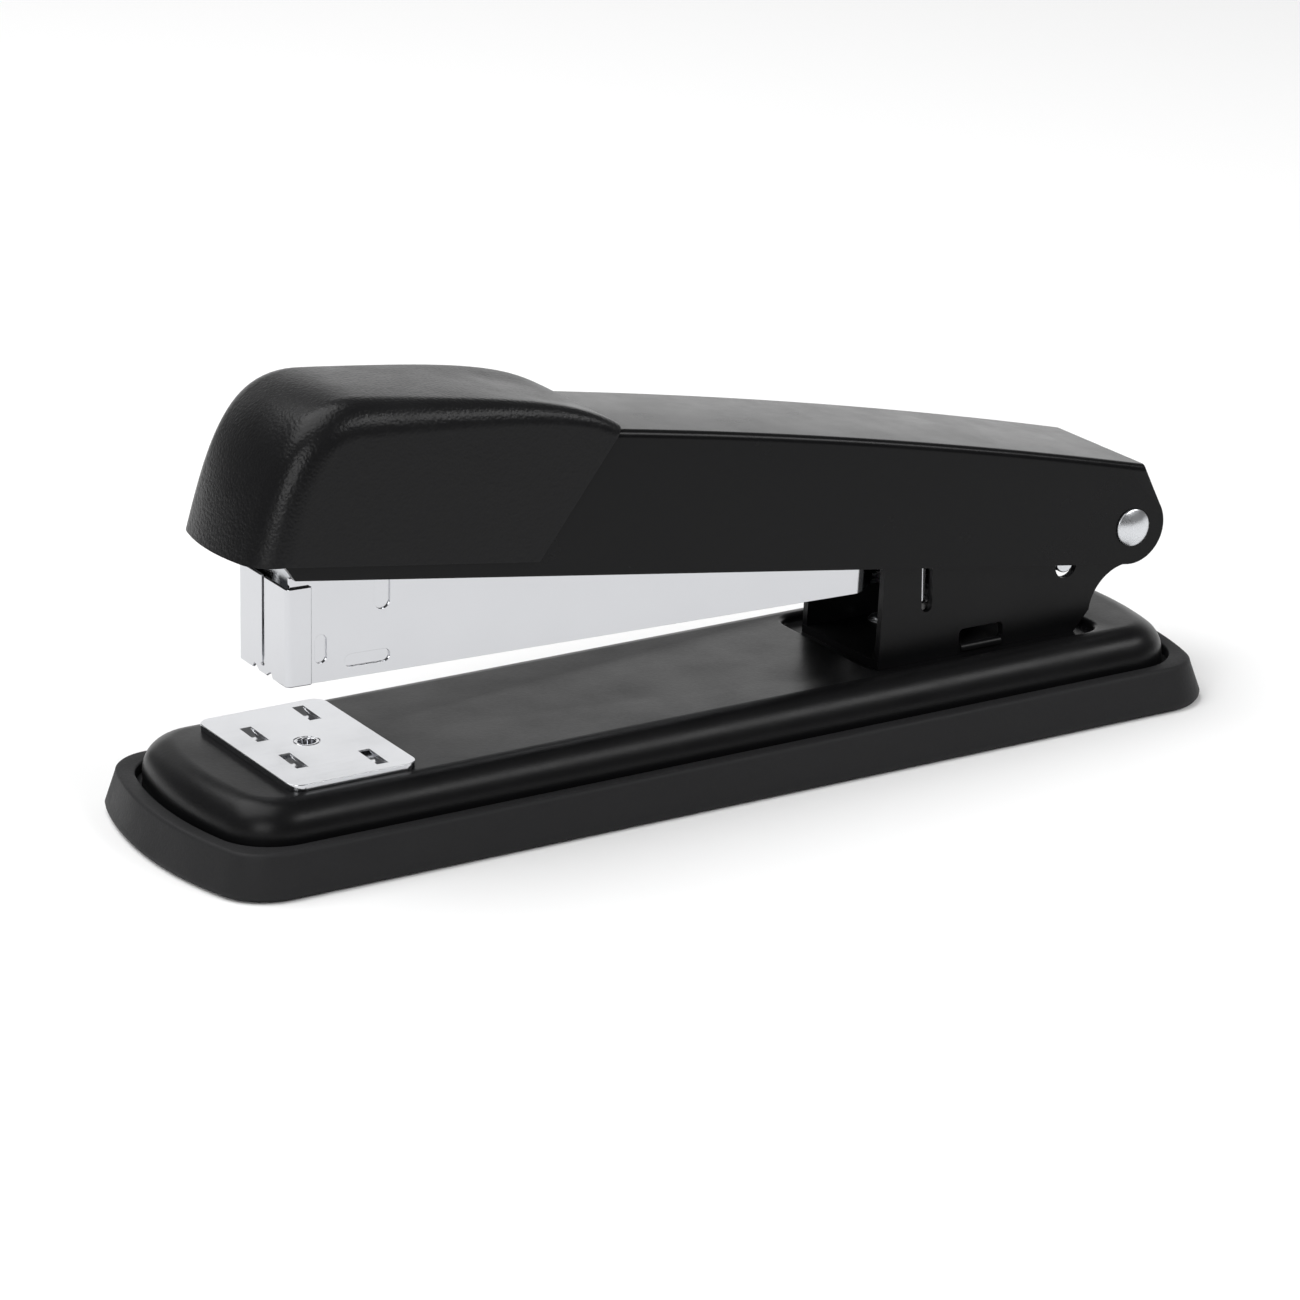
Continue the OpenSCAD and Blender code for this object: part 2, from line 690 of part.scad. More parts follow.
// A leaf hooked on the spring pin, with its heel on the bracket's floor and its tip under the rail
module return_spring() {
  hook_r = spring_pin_r + drop_in_fit + return_t / 2;
  heel = [slot_x + return_heel_dx, bracket_floor_z + return_t / 2 + seat_fit];
  tip = [slot_x + return_tip_dx, rail_z + (pivot_x - slot_x) * sin(magazine_tilt) - return_t];
  hook = [for (a = [hook_top_angle:-hook_step_angle:-90])
    [spring_pin_x + hook_r * cos(a), spring_hang_z + hook_r * sin(a)]];
  color("#b3b5b8") placed() slab_y(-return_w / 2, return_w / 2)
    polygon(ribbon(concat(hook, [heel, tip]), return_t));
}

module pivot_head() {
  ball_r = (pow(pivot_head_r, 2) + pow(pivot_head_h, 2)) / (2 * pivot_head_h);
  intersection() {
    translate([0, pivot_head_h - ball_r]) circle(ball_r, $fn = 128);
    square([pivot_head_r, pivot_head_h]);
  }
}

module pivot_pin() {
  half = arm_w / 2 + slide_fit;
  color("#c3c5c8") placed() translate([pivot_x, 0, pivot_z]) rotate([90, 0, 0]) rotate_extrude() {
    translate([0, -half - thin]) square([pivot_r, 2 * half + 2 * thin]);
    translate([0, half]) pivot_head();
    mirror([0, 1]) translate([0, half]) pivot_head();
  }
}

// Rings on the pivot pin, on both sides, from distance y0 to y1 off the middle
module pivot_rings(y0, y1, r) {
  for (side = [-1, 1]) {
    translate([pivot_x, side * (y0 + y1) / 2, pivot_z]) rotate([90, 0, 0]) difference() {
      cylinder(r = r, h = y1 - y0, center = true);
      cylinder(r = pivot_r + seat_fit, h = y1 - y0 + over, center = true);
    }
  }
}

module pivot_bushes() {
  color("#8d8f92") placed() pivot_rings(channel_w / 2 + slide_fit, bracket_in_w / 2, pivot_r + bush_wall);
}

module pivot_washers() {
  color("#8d8f92") placed() pivot_rings(bracket_w / 2, arm_in_w / 2 - slide_fit, pivot_r + washer_wall);
}

// One wall of the magazine, level
module channel_side() {
  polygon([
    [channel_x, channel_z],
    [channel_floor_end_x, channel_z],
    [channel_floor_end_x, channel_z + channel_heel_r],
    [tail_end_x, channel_z + channel_heel_r],
    [tail_end_x, tail_z],
    [pivot_x - tail_ear_r, tail_z],
    [pivot_x, pivot_z],
    [pivot_x, pivot_z + tail_ear_r],
    [tail_end_x, channel_top_z],
    [channel_x, channel_top_z]
  ]);
  translate([channel_floor_end_x, channel_z + channel_heel_r]) circle(channel_heel_r);
  translate([pivot_x, pivot_z]) circle(tail_ear_r);
}

// The three marks pressed into each wall near the nose: an upper slot, an oval and a level groove
module channel_marks() {
  upper_x = nose_x + upper_mark_dx;
  oval_x = nose_x + oval_mark_dx;
  groove_x = nose_x + groove_mark_dx;
  groove_z = channel_z + groove_mark_rise;
  slot_2d([upper_x, channel_top_z + over], [upper_x, channel_z + upper_mark_rise], upper_mark_w);
  slot_2d([oval_x, channel_z + oval_mark_z[0]], [oval_x, channel_z + oval_mark_z[1]], mark_w);
  slot_2d([groove_x, groove_z], [groove_x + groove_mark_l, groove_z], mark_w);
}

module magazine_channel() {
  color("#dcdde0") placed() tilted(magazine_tilt) difference() {
    union() {
      both_walls(channel_w / 2, channel_t) channel_side();
      translate([staple_x, -channel_w / 2, channel_z])
        cube([channel_floor_end_x - staple_x, channel_w, channel_t]);
    }
    hole_y(pivot_x, pivot_z, pivot_r + pivot_fit);
    hole_y(slot_x, stop_pin_z, stop_pin_r + seat_fit);
    both_walls(channel_w / 2 + over, over + mark_depth) channel_marks();
    rail_rivet_places() cylinder(r = rail_rivet_r + seat_fit, h = channel_top_z);
  }
}

// The nose folds round the front of the magazine and leaves a slit between its flanges
module nose() {
  outer_w = channel_w + 2 * (nose_t + seat_fit);
  color("#dcdde0") placed() tilted(magazine_tilt) difference() {
    translate([nose_x, 0, channel_z]) linear_extrude(nose_h) difference() {
      translate([(nose_wrap + nose_corner_r) / 2, 0])
        rounded_rect(nose_wrap + nose_corner_r, outer_w, nose_corner_r);
      translate([nose_t, -channel_w / 2 - seat_fit]) square([nose_wrap + over, channel_w + 2 * seat_fit]);
      translate([nose_wrap, -outer_w / 2]) square([over, outer_w]);
    }
    translate([nose_x - over, -nose_slit / 2, channel_z + nose_bridge])
      cube([nose_t + 2 * over, nose_slit, nose_h]);
    for (side = [-1, 1]) {
      translate([nose_x - over, side * nose_notch_y, channel_z]) rotate([side * nose_notch_angle, 0, 0])
        translate([0, -nose_notch_w / 2, -nose_notch_h])
        cube([nose_t + 2 * over, nose_notch_w, nose_notch_h]);
    }
  }
}

module rail_side() {
  square([rail_end_x - staple_x, rail_top_z - rail_z]);
}

module rail_rivet_places() {
  for (x = [staple_x + rail_rivet_front_dx, channel_floor_end_x - rail_rivet_rear_dx], y = [-1, 1]) {
    translate([x, y * rail_rivet_y, 0]) children();
  }
}

// A trough: staples sit astride its two walls and the spring runs inside it
module staple_rail() {
  color("#c6c8cb") placed() tilted(magazine_tilt) difference() {
    union() {
      both_walls(rail_w / 2, rail_t) translate([staple_x, rail_z]) rail_side();
      translate([staple_x, -rail_w / 2, rail_z]) cube([rail_end_x - staple_x, rail_w, rail_t]);
      translate([staple_x, -rail_w / 2, rail_z]) cube([rail_t, rail_w, rail_top_z - rail_z]);
    }
    translate([staple_x - over, 0, rod_z]) rotate([0, 90, 0])
      cylinder(r = rod_r + seat_fit, h = rail_t + 2 * over);
    rail_rivet_places() cylinder(r = rail_rivet_r + seat_fit, h = channel_top_z);
  }
}

// Flush rivets that hold the rail to the magazine's floor
module rail_rivets() {
  color("#b9bbbe") placed() tilted(magazine_tilt) rail_rivet_places() {
    translate([0, 0, channel_z]) cylinder(r = rail_rivet_r, h = channel_t + rail_t);
  }
}

module rear_bulkhead() {
  color("#c6c8cb") placed() tilted(magazine_tilt) difference() {
    translate([bulkhead_x, -channel_in_w / 2 + seat_fit, rail_z])
      cube([bulkhead_t, channel_in_w - 2 * seat_fit, rail_top_z + bulkhead_rise - rail_z]);
    translate([bulkhead_x - over, 0, rod_z]) rotate([0, 90, 0])
      cylinder(r = rod_r + seat_fit, h = bulkhead_t + 2 * over);
  }
}

module stop_pin() {
  l = bracket_w + 2 * stop_pin_proud;
  color("#cfd0d3") placed() tilted(magazine_tilt) translate([slot_x, l / 2, stop_pin_z]) rotate([90, 0, 0])
    cylinder(r = stop_pin_r, h = l);
}

// Two bars on the stop pin that hang between the magazine and the bracket
module stop_bars() {
  bar_w = 1.4;
  bar_t = 1;
  foot_z = stop_slot_z + bar_foot_gap;
  outer = bracket_in_w / 2 - bar_gap;
  color("#d2d3d6") placed() tilted(magazine_tilt) difference() {
    both_walls(outer, bar_t) {
      slot_2d([slot_x, foot_z + bar_w / 2], [slot_x, stop_pin_z], bar_w);
      translate([slot_x, stop_pin_z]) circle(bar_eye_r);
    }
    hole_y(slot_x, stop_pin_z, stop_pin_r + seat_fit);
  }
}

module follower_rod() {
  color("#b3b5b8") placed() tilted(magazine_tilt) translate([staple_x, 0, rod_z]) rotate([0, 90, 0])
    cylinder(r = rod_r, h = bulkhead_x + bulkhead_t - staple_x);
}

module follower_spring() {
  color("#b9bbbe") placed() tilted(magazine_tilt) translate([follower_end_x + slide_fit, 0, rod_z])
    coil(coil_r, follower_wire_r, bulkhead_x - follower_end_x - 2 * slide_fit, follower_turns);
}

// A saddle over the rail, with a tongue that slides on the rod
module follower() {
  w = channel_in_w - 2 * follower_gap;
  foot_z = rail_z + rail_t + follower_gap;
  wall_gap = rail_t + 2 * follower_gap;
  color("#a7a9ac") placed() tilted(magazine_tilt) difference() {
    translate([follower_x, -w / 2, foot_z]) cube([follower_l, w, rail_top_z + follower_rise - foot_z]);
    for (side = [-1, 1]) {
      translate([follower_x - over, side * (rail_w - rail_t) / 2 - wall_gap / 2, foot_z - over])
        cube([follower_l + 2 * over, wall_gap, rail_top_z + follower_gap - foot_z + over]);
    }
    translate([staple_x - over, -rail_w / 2, foot_z - over])
      cube([rail_t + follower_gap + over, rail_w, rail_top_z + follower_gap - foot_z + over]);
    translate([follower_x - over, 0, rod_z]) rotate([0, 90, 0])
      cylinder(r = rod_r + slide_fit, h = follower_l + 2 * over);
  }
}

// The arm's crown from rear to front and its front edge, which keeps clear of the cap's
// rounded front corners; gap grows it outward
function arm_crown(gap) =
  let (steps = round((arm_rear_x - cap_front_top_x) / arm_step_x))
  [for (i = [0:steps])
    let (x = arm_rear_x - (arm_rear_x - cap_front_top_x) * i / steps)
    [x, arm_top(x) + gap]];
function arm_front(gap) =
  let (top_z = arm_top(cap_front_top_x), corner_x = cap_front_x + cap_corner_r)
  [
    [cap_front_top_x - arm_brow[0] - gap, top_z - arm_brow[1]],
    [corner_x + arm_cheek[0] - gap, top_z - arm_cheek[1]],
    [corner_x - arm_lip_dx - gap, cap_lip_z]
  ];

// One side of the arm: straight below, slightly crowned above, round about the pivot
module arm_side() {
  polygon(concat(
    [[arm_front_x, arm_bottom(arm_front_x)], [pivot_x, arm_bottom(pivot_x)],
      [pivot_x + (arm_ear_r - ear_blend) * cos(rear_a), pivot_z + (arm_ear_r - ear_blend) * sin(rear_a)]],
    arm_crown(0), arm_front(0)
  ));
  translate([pivot_x, pivot_z]) circle(arm_ear_r);
}

module arm_inside() {
  polygon(concat(
    [[0, -over], [base_l, -over]],
    [for (x = [base_l:-arm_step_x:0]) [x, arm_top(x) - arm_t]]
  ));
}

module arm_shell() {
  color("#161617") placed() difference() {
    slab_y(-arm_w / 2, arm_w / 2) arm_side();
    slab_y(-arm_in_w / 2, arm_in_w / 2) arm_inside();
    hole_y(pivot_x, pivot_z, pivot_r + pivot_fit);
    arm_rivet_places() cylinder(r = rivet_shank_r + seat_fit, h = rivet_hole_h, center = true);
  }
}

// Height of the cap's top: level with the arm's crown in front, down to a small step at the rear
function cap_top(x) =
  let (t = max(0, (x - cap_front_top_x) / (cap_rear_x - cap_front_top_x)))
  arm_top(x) + cap_step + (cap_rise - cap_step) * (1 - pow(t, cap_fall));

// The four control points of the cap's front curve, and a point and a direction along it
cap_curve =
  let (top_angle = arm_top_angle(cap_front_top_x))
  [
    [cap_front_x, cap_lip_z],
    [cap_front_x + cap_cheek * sin(cap_lean), cap_lip_z + cap_cheek * cos(cap_lean)],
    [cap_front_top_x - cap_brow * cos(top_angle), cap_top(cap_front_top_x) + cap_brow * sin(top_angle)],
    [cap_front_top_x, cap_top(cap_front_top_x)]
  ];
function curve_point(p, t) =
  pow(1 - t, 3) * p[0] + 3 * pow(1 - t, 2) * t * p[1] + 3 * (1 - t) * pow(t, 2) * p[2] + pow(t, 3) * p[3];
function curve_direction(p, t) =
  let (d = pow(1 - t, 2) * (p[1] - p[0]) + 2 * (1 - t) * t * (p[2] - p[1]) + pow(t, 2) * (p[3] - p[2]))
  d / norm(d);

// The cap's middle line seen from the side, from below the front lip, up, over and back.
// Each entry is [x, z, inward x, inward z, edge radius, radius of the bow across the cap].
function cap_path(inset) =
  let (length = cap_rear_x + over - cap_front_top_x)
  concat(
    [[cap_front_x + inset / cos(cap_lean) - tan(cap_lean) * (cap_lip_z - cap_foot_z), cap_foot_z,
      1, 0, cap_corner_r, cap_bow_r]],
    [for (i = [0:cap_curl_steps])
      let (
        q = curve_point(cap_curve, i / cap_curl_steps),
        d = curve_direction(cap_curve, i / cap_curl_steps)
      )
      [q[0] + inset * d[1], q[1] - inset * d[0], d[1], -d[0],
        cap_corner_r + (cap_edge_r - cap_corner_r) * d[0],
        1 / (pow(d[1], 2) / cap_bow_r + pow(d[0], 2) / cap_crown_r)]],
    [for (i = [1:cap_top_steps])
      let (x = cap_front_top_x + length * i / cap_top_steps)
      [x, cap_top(x) - inset, 0, -1,
        cap_edge_r + (cap_rear_edge_r - cap_edge_r) * i / cap_top_steps, cap_crown_r]]
  );

// The rounded solid that the cap is cut from, drawn in by inset on every face
module cap_form(inset) {
  half = cap_w / 2 - inset;
  path = cap_path(inset);
  last = len(path) - 1;
  front_foot_x = cap_front_x + 2 * cap_corner_r;
  function section(k) =
    let (
      p = path[k],
      side = [for (q = bowed_end(half, p[5] - inset, p[4] - inset))
        [p[0] + p[2] * q[0], q[1], p[1] + p[3] * q[0]]],
      foot_x = front_foot_x + (cap_rear_x + over - front_foot_x) * k / last,
      foot = [foot_x, half, cap_foot_z - over * k / last],
      half_ring = concat(side, [foot])
    )
    concat(half_ring, [for (i = [len(half_ring) - 1:-1:1])
      [half_ring[i][0], -half_ring[i][1], half_ring[i][2]]]);
  loft([for (k = [0:last]) section(k)]);
}

// The cap's side outline: level front lip, sloping lower edge, raked rear edge
module cap_side() {
  polygon([
    [0, cap_lip_z], [cap_front_x + cap_corner_r, cap_lip_z],
    [cap_lower_rear_x, arm_bottom(cap_lower_rear_x) + cap_lift],
    [cap_rear_x - cap_rake_dx, arm_top(cap_rear_x)], [cap_rear_x, arm_top(cap_rear_x) + cap_rake_h],
    [cap_rear_x, base_l], [0, base_l]
  ]);
}

module arm_envelope() {
  foot = arm_front(drop_in_fit)[2];
  slab_y(-arm_w / 2 - drop_in_fit, arm_w / 2 + drop_in_fit) polygon(concat(
    [[foot[0], 0], [base_l, 0], [base_l, arm_rear_z]],
    arm_crown(drop_in_fit), arm_front(drop_in_fit)
  ));
}

module arm_cap() {
  color("#202021") placed() difference() {
    intersection() {
      cap_form(0);
      slab_y(-cap_w, cap_w) cap_side();
    }
    cap_form(cap_t);
    arm_envelope();
    translate([0, -arm_in_w / 2, 0])
      cube([base_l, arm_in_w, arm_bottom(cap_front_x) + over]);
  }
}

// Driver parts, drawn at mid-stroke so that the blade stays inside the nose all the way
driver_tip_z = channel_z + (pivot_x - driver_x) * sin(drive_stroke / 2);
driver_flange_drop = 10.7;
driver_flange_z = arm_top(cap_front_top_x) - driver_flange_drop;
driver_flange_l = 12;
driver_hole_dx = 7;
leaf_rear_dx = 6;
leaf_rear_x = cap_rear_x + leaf_rear_dx;
leaf_join_dx = 22;
leaf_join_x = cap_rear_x - leaf_join_dx;
arm_rivet_dx = 14;
arm_rivet_x = cap_rear_x - arm_rivet_dx;
arm_rivet_y = 3;
arm_rivet_head_r = 1.9;
arm_rivet_head_h = 0.7;
rivet_hole_h = 20;
driver_angle = magazine_tilt + drive_stroke / 2;
leaf_pad_dx = [11, 2];
leaf_pad_z = driver_flange_z + driver_t + seat_fit + leaf_t / 2;

// A point of the level drawing, turned up about the pivot like the driver
function turned(p, angle) = [
  pivot_x + (p[0] - pivot_x) * cos(angle) + (p[1] - pivot_z) * sin(angle),
  pivot_z - (p[0] - pivot_x) * sin(angle) + (p[1] - pivot_z) * cos(angle)
];

module driver_blade() {
  color("#c6c8cb") placed() tilted(driver_angle) difference() {
    union() {
      translate([driver_x - driver_t / 2, -driver_w / 2, driver_tip_z])
        cube([driver_t, driver_w, driver_flange_z + driver_t - driver_tip_z]);
      translate([driver_x - driver_t / 2, -driver_w / 2, driver_flange_z])
        cube([driver_flange_l, driver_w, driver_t]);
    }
    translate([driver_x + driver_hole_dx, 0, driver_flange_z - over])
      cylinder(r = rivet_shank_r + seat_fit, h = 3 * over);
  }
}

module arm_rivet_places() {
  for (y = [-1, 1]) {
    translate([arm_rivet_x, y * arm_rivet_y, arm_top(arm_rivet_x)])
      rotate([0, arm_top_angle(arm_rivet_x), 0]) children();
  }
}

// The leaf lies under the arm's top at its rear, and its front end lies on the driver's flange
module driver_spring() {
  gap = arm_t + leaf_t / 2 + drop_in_fit;
  points = concat(
    [for (x = [leaf_rear_x:-arm_step_x / 2:leaf_join_x]) [x, arm_top(x) - gap]],
    [for (dx = leaf_pad_dx) turned([driver_x + dx, leaf_pad_z], driver_angle)]
  );
  color("#b3b5b8") placed() difference() {
    slab_y(-leaf_w / 2, leaf_w / 2) polygon(ribbon(points, leaf_t));
    tilted(driver_angle) translate([driver_x + driver_hole_dx, 0, driver_flange_z])
      cylinder(r = rivet_shank_r + seat_fit, h = 3 * over);
    arm_rivet_places() cylinder(r = rivet_shank_r + seat_fit, h = rivet_hole_h, center = true);
  }
}

module driver_rivets() {
  grip = arm_t + leaf_t + 2 * drop_in_fit;
  color("#a9abae") placed() {
    arm_rivet_places() {
      translate([0, 0, seat_fit]) cylinder(r = arm_rivet_head_r, h = arm_rivet_head_h);
      translate([0, 0, -grip - drop_in_fit]) cylinder(r = rivet_shank_r, h = grip + 2 * drop_in_fit);
      translate([0, 0, -grip - arm_rivet_head_h]) cylinder(r = arm_rivet_head_r, h = arm_rivet_head_h);
    }
  }
}

// The rivet that holds the blade's flange under the front end of the leaf
module blade_rivet() {
  grip = driver_t + leaf_t + seat_fit;
  color("#a9abae") placed() tilted(driver_angle) translate([driver_x + driver_hole_dx, 0, driver_flange_z]) {
    translate([0, 0, -arm_rivet_head_h]) cylinder(r = arm_rivet_head_r, h = arm_rivet_head_h);
    translate([0, 0, -thin]) cylinder(r = rivet_shank_r, h = grip + 2 * thin);
    translate([0, 0, grip]) cylinder(r = arm_rivet_head_r, h = arm_rivet_head_h);
  }
}

sole();
base_plate();
anvil();
anvil_post();
anvil_spring();
anvil_button();
bracket();
bracket_rivets();
spring_pin();
return_spring();
pivot_pin();
pivot_bushes();
pivot_washers();
magazine_channel();
nose();
staple_rail();
rail_rivets();
rear_bulkhead();
stop_pin();
stop_bars();
follower_rod();
follower_spring();
follower();
arm_shell();
arm_cap();
driver_blade();
driver_spring();
driver_rivets();
blade_rivet();
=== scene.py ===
"""Looks of a full-strip desk stapler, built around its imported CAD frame.

Lengths are metres. The origin is the centre of the sole's underside, +Z is up, the nose end
points along -X, and the stapler is symmetric about Y = 0.
"""

import json
import math

import bmesh
import bpy
from mathutils import Matrix, Vector


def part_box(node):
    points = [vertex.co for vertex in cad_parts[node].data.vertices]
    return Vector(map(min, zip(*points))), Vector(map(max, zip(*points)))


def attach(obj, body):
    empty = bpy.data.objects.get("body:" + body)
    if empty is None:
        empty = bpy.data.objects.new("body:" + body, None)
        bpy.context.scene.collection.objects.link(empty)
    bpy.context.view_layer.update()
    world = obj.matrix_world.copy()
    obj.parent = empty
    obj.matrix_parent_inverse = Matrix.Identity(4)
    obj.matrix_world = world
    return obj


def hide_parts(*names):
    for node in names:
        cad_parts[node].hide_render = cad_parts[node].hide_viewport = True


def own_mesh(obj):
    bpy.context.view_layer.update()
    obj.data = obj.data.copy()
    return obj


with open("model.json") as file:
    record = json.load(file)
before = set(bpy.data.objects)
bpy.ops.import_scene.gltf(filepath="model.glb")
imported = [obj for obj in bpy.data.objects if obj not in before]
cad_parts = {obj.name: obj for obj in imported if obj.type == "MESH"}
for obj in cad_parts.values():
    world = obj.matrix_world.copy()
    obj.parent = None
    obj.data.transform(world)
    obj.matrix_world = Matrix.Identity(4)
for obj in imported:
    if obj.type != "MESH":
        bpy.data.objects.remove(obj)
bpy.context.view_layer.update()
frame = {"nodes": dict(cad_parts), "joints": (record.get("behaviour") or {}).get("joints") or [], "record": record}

bl_info = {
    "name": "Desk stapler",
    "version": (1, 0, 0),
    "blender": (4, 5, 0),
    "location": "View3D > Sidebar > Stapler",
    "description": "Builds the visible pieces of a desk stapler around its CAD frame",
    "category": "Object",
}

MM = 0.001
# Room left between two pieces that lie against each other
CLEARANCE = 0.1 * MM
NODES = frame["nodes"]
SLOT_OF = {row["node"]: row["material_slot"] for row in frame["record"]["subparts"]}
BODY_OF = {
    node: body
    for body, nodes in frame["record"]["behaviour"]["bodies"].items()
    for node in nodes
}
JOINTS = {joint["name"]: joint for joint in frame["joints"]}
PIVOT = Vector(JOINTS["magazine_pivot"]["pos_m"])
SOLE_LOW, SOLE_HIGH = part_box("sole")
PLATE_LOW, PLATE_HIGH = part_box("base_plate")
CAP_LOW, CAP_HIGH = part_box("arm_cap")
ARM_LOW, ARM_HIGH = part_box("arm_shell")
FRONT = SOLE_LOW.x


# ---------------------------------------------------------------- sizes and colours


def length(name, description, default):
    return bpy.props.FloatProperty(
        name=name, description=description, default=default, unit="LENGTH", precision=5
    )


def colour(name, description, default):
    return bpy.props.StringProperty(name=name, description=description, default=default)


class StaplerBaseSizes(bpy.types.PropertyGroup):
    corner_r: length("Sole corner", "Radius of the sole's corners in plan", 8.8 * MM)
    end_bow: length("End bow", "How far each end of the sole bows out", 5 * MM)
    draft: length("Draft", "Inward slope of the sole's side", 1.8 * MM)
    lip_r: length("Lip", "Rounding at the top of the sole's side", 0.7 * MM)
    plate_inset: length("Plate inset", "From the sole's outer edge to the steel base", 4.9 * MM)
    groove_w: length("Groove width", "Width of the groove round the steel base", 0.9 * MM)
    groove_depth: length("Groove depth", "Depth of the groove round the steel base", 1.6 * MM)
    floor: length("Sole floor", "Thickness of the sole's floor", 2.2 * MM)
    plate_corner_r: length("Plate corner", "Radius of the steel base's corners", 9 * MM)
    edge_r: length("Plate edge", "Rounding between the steel base's side and top", 4.7 * MM)
    plate_t: length("Plate sheet", "Sheet thickness of the steel base", 1.2 * MM)
    recess_depth: length("Recess depth", "Depth of the pressed recess", 1.4 * MM)
    recess_edge: length("Recess edge", "Rounding of the recess's upper edge", 0.8 * MM)
    recess_r: length("Recess corner", "Radius of the recess's corners", 3.5 * MM)
    recess_gap_x: length("Recess end gap", "Room before and behind the bracket", 2.5 * MM)
    recess_gap_y: length("Recess side gap", "Room beside the bracket", 3.8 * MM)
    bracket_floor_l: length("Bracket floor", "Length of the bracket's floor", 35.5 * MM)
    button_gap: length("Button gap", "Room round the anvil's button", 0.4 * MM)


class StaplerArmSizes(bpy.types.PropertyGroup):
    sheet: length("Arm sheet", "Sheet thickness of the arm", 1 * MM)
    top_edge_r: length("Top edge", "Bend radius of the arm's long top edges", 1.2 * MM)
    ear_r: length("Ear", "Radius of the arm's rounded rear end", 5.85 * MM)
    cap_lean: bpy.props.FloatProperty(
        name="Cap lean", description="Lean of the cap's front at its lower edge",
        default=math.radians(17), subtype="ANGLE", unit="ROTATION")
    cap_front_run: length("Front run", "From the cap's lower front edge back to its top", 20 * MM)
    cap_cheek: length("Cheek", "Pull of the front curve, upward from the lower edge", 12.2 * MM)
    cap_brow: length("Brow", "Pull of the front curve, forward from the top", 13 * MM)
    cap_corner_r: length("Front corner", "Radius of the cap's upright corners", 6 * MM)
    cap_edge_r: length("Top edge front", "Radius of the cap's top edges in front", 5 * MM)
    cap_rear_edge_r: length("Top edge rear", "Radius of the cap's top edges behind", 2 * MM)
    cap_bow_r: length("Front bow", "Radius of the bow of the cap's front", 37 * MM)
    cap_crown_r: length("Crown", "Radius of the crown across the cap's top", 220 * MM)
    cap_rise: length("Cap rise", "Height of the cap's top above the arm, in front", 4.3 * MM)
    cap_step: length("Cap step", "Height of the cap's rear edge above the arm", 0.8 * MM)
    cap_lift: length("Cap lift", "From the arm's lower edge up to the cap's", 2.4 * MM)
    cap_wall: length("Cap wall", "Wall thickness of the cap", 1.6 * MM)
    scoop: length("Scoop", "Depth of the thumb scoop in the cap's top", 0.9 * MM)
    scoop_x: length("Scoop place", "From the sole's front end to the scoop", 61 * MM)
    scoop_l: length("Scoop length", "Reach of the scoop along the cap", 8 * MM)
    scoop_w: length("Scoop width", "Reach of the scoop across the cap", 8.5 * MM)
    pivot_bore_r: length("Pivot bore", "Radius of the arm's holes for the pivot", 2.06 * MM)


class StaplerSpringSizes(bpy.types.PropertyGroup):
    wire_r: length("Spring wire", "Wire radius of the follower's spring", 0.2 * MM)
    turns: bpy.props.IntProperty(
        name="Spring turns", description="Turns in the follower's spring", default=28, min=4
    )
    rod_gap: length("Rod gap", "Room between the rod and the follower's spring", 0.35 * MM)
    anvil_wire_r: length("Anvil spring wire", "Wire radius of the anvil's spring", 0.4 * MM)
    anvil_turns: bpy.props.IntProperty(
        name="Anvil spring turns", description="Turns in the anvil's spring", default=4, min=2
    )


class StaplerColours(bpy.types.PropertyGroup):
    rubber: colour("Rubber", "Moulded rubber of the sole", "#262627")
    coat: colour("Powder coat", "Satin coating of the base and bracket", "#101011")
    enamel: colour("Enamel", "Semi-gloss enamel of the arm", "#0f0f10")
    plastic: colour("Plastic", "Moulded plastic of the cap and the button", "#131314")
    chrome: colour("Chrome", "Bright plating", "#c9cacd")
    steel: colour("Steel", "Bright strip steel", "#c4c6c9")
    spring: colour("Spring steel", "Tempered spring steel", "#a9abaf")
    zinc: colour("Zinc", "Zinc-plated turned steel", "#d2d4d7")
    floor: colour("Floor", "Paper floor", "#f8f8f8")


def settings(kind):
    return getattr(bpy.context.scene, "stapler_" + kind)


# ---------------------------------------------------------------- materials


def linear(text, alpha=1.0):
    """An sRGB hex colour as a linear RGBA tuple."""
    parts = [int(text[i : i + 2], 16) / 255 for i in (1, 3, 5)]
    return tuple(p / 12.92 if p <= 0.04045 else ((p + 0.055) / 1.055) ** 2.4 for p in parts) + (alpha,)


def add_node(tree, kind, inputs=None, **options):
    """A new node with its options, its input values and its links."""
    node = tree.nodes.new(kind)
    for name, value in options.items():
        setattr(node, name, value)
    for name, value in (inputs or {}).items():
        if isinstance(value, bpy.types.NodeSocket):
            tree.links.new(value, node.inputs[name])
        else:
            node.inputs[name].default_value = value
    return node


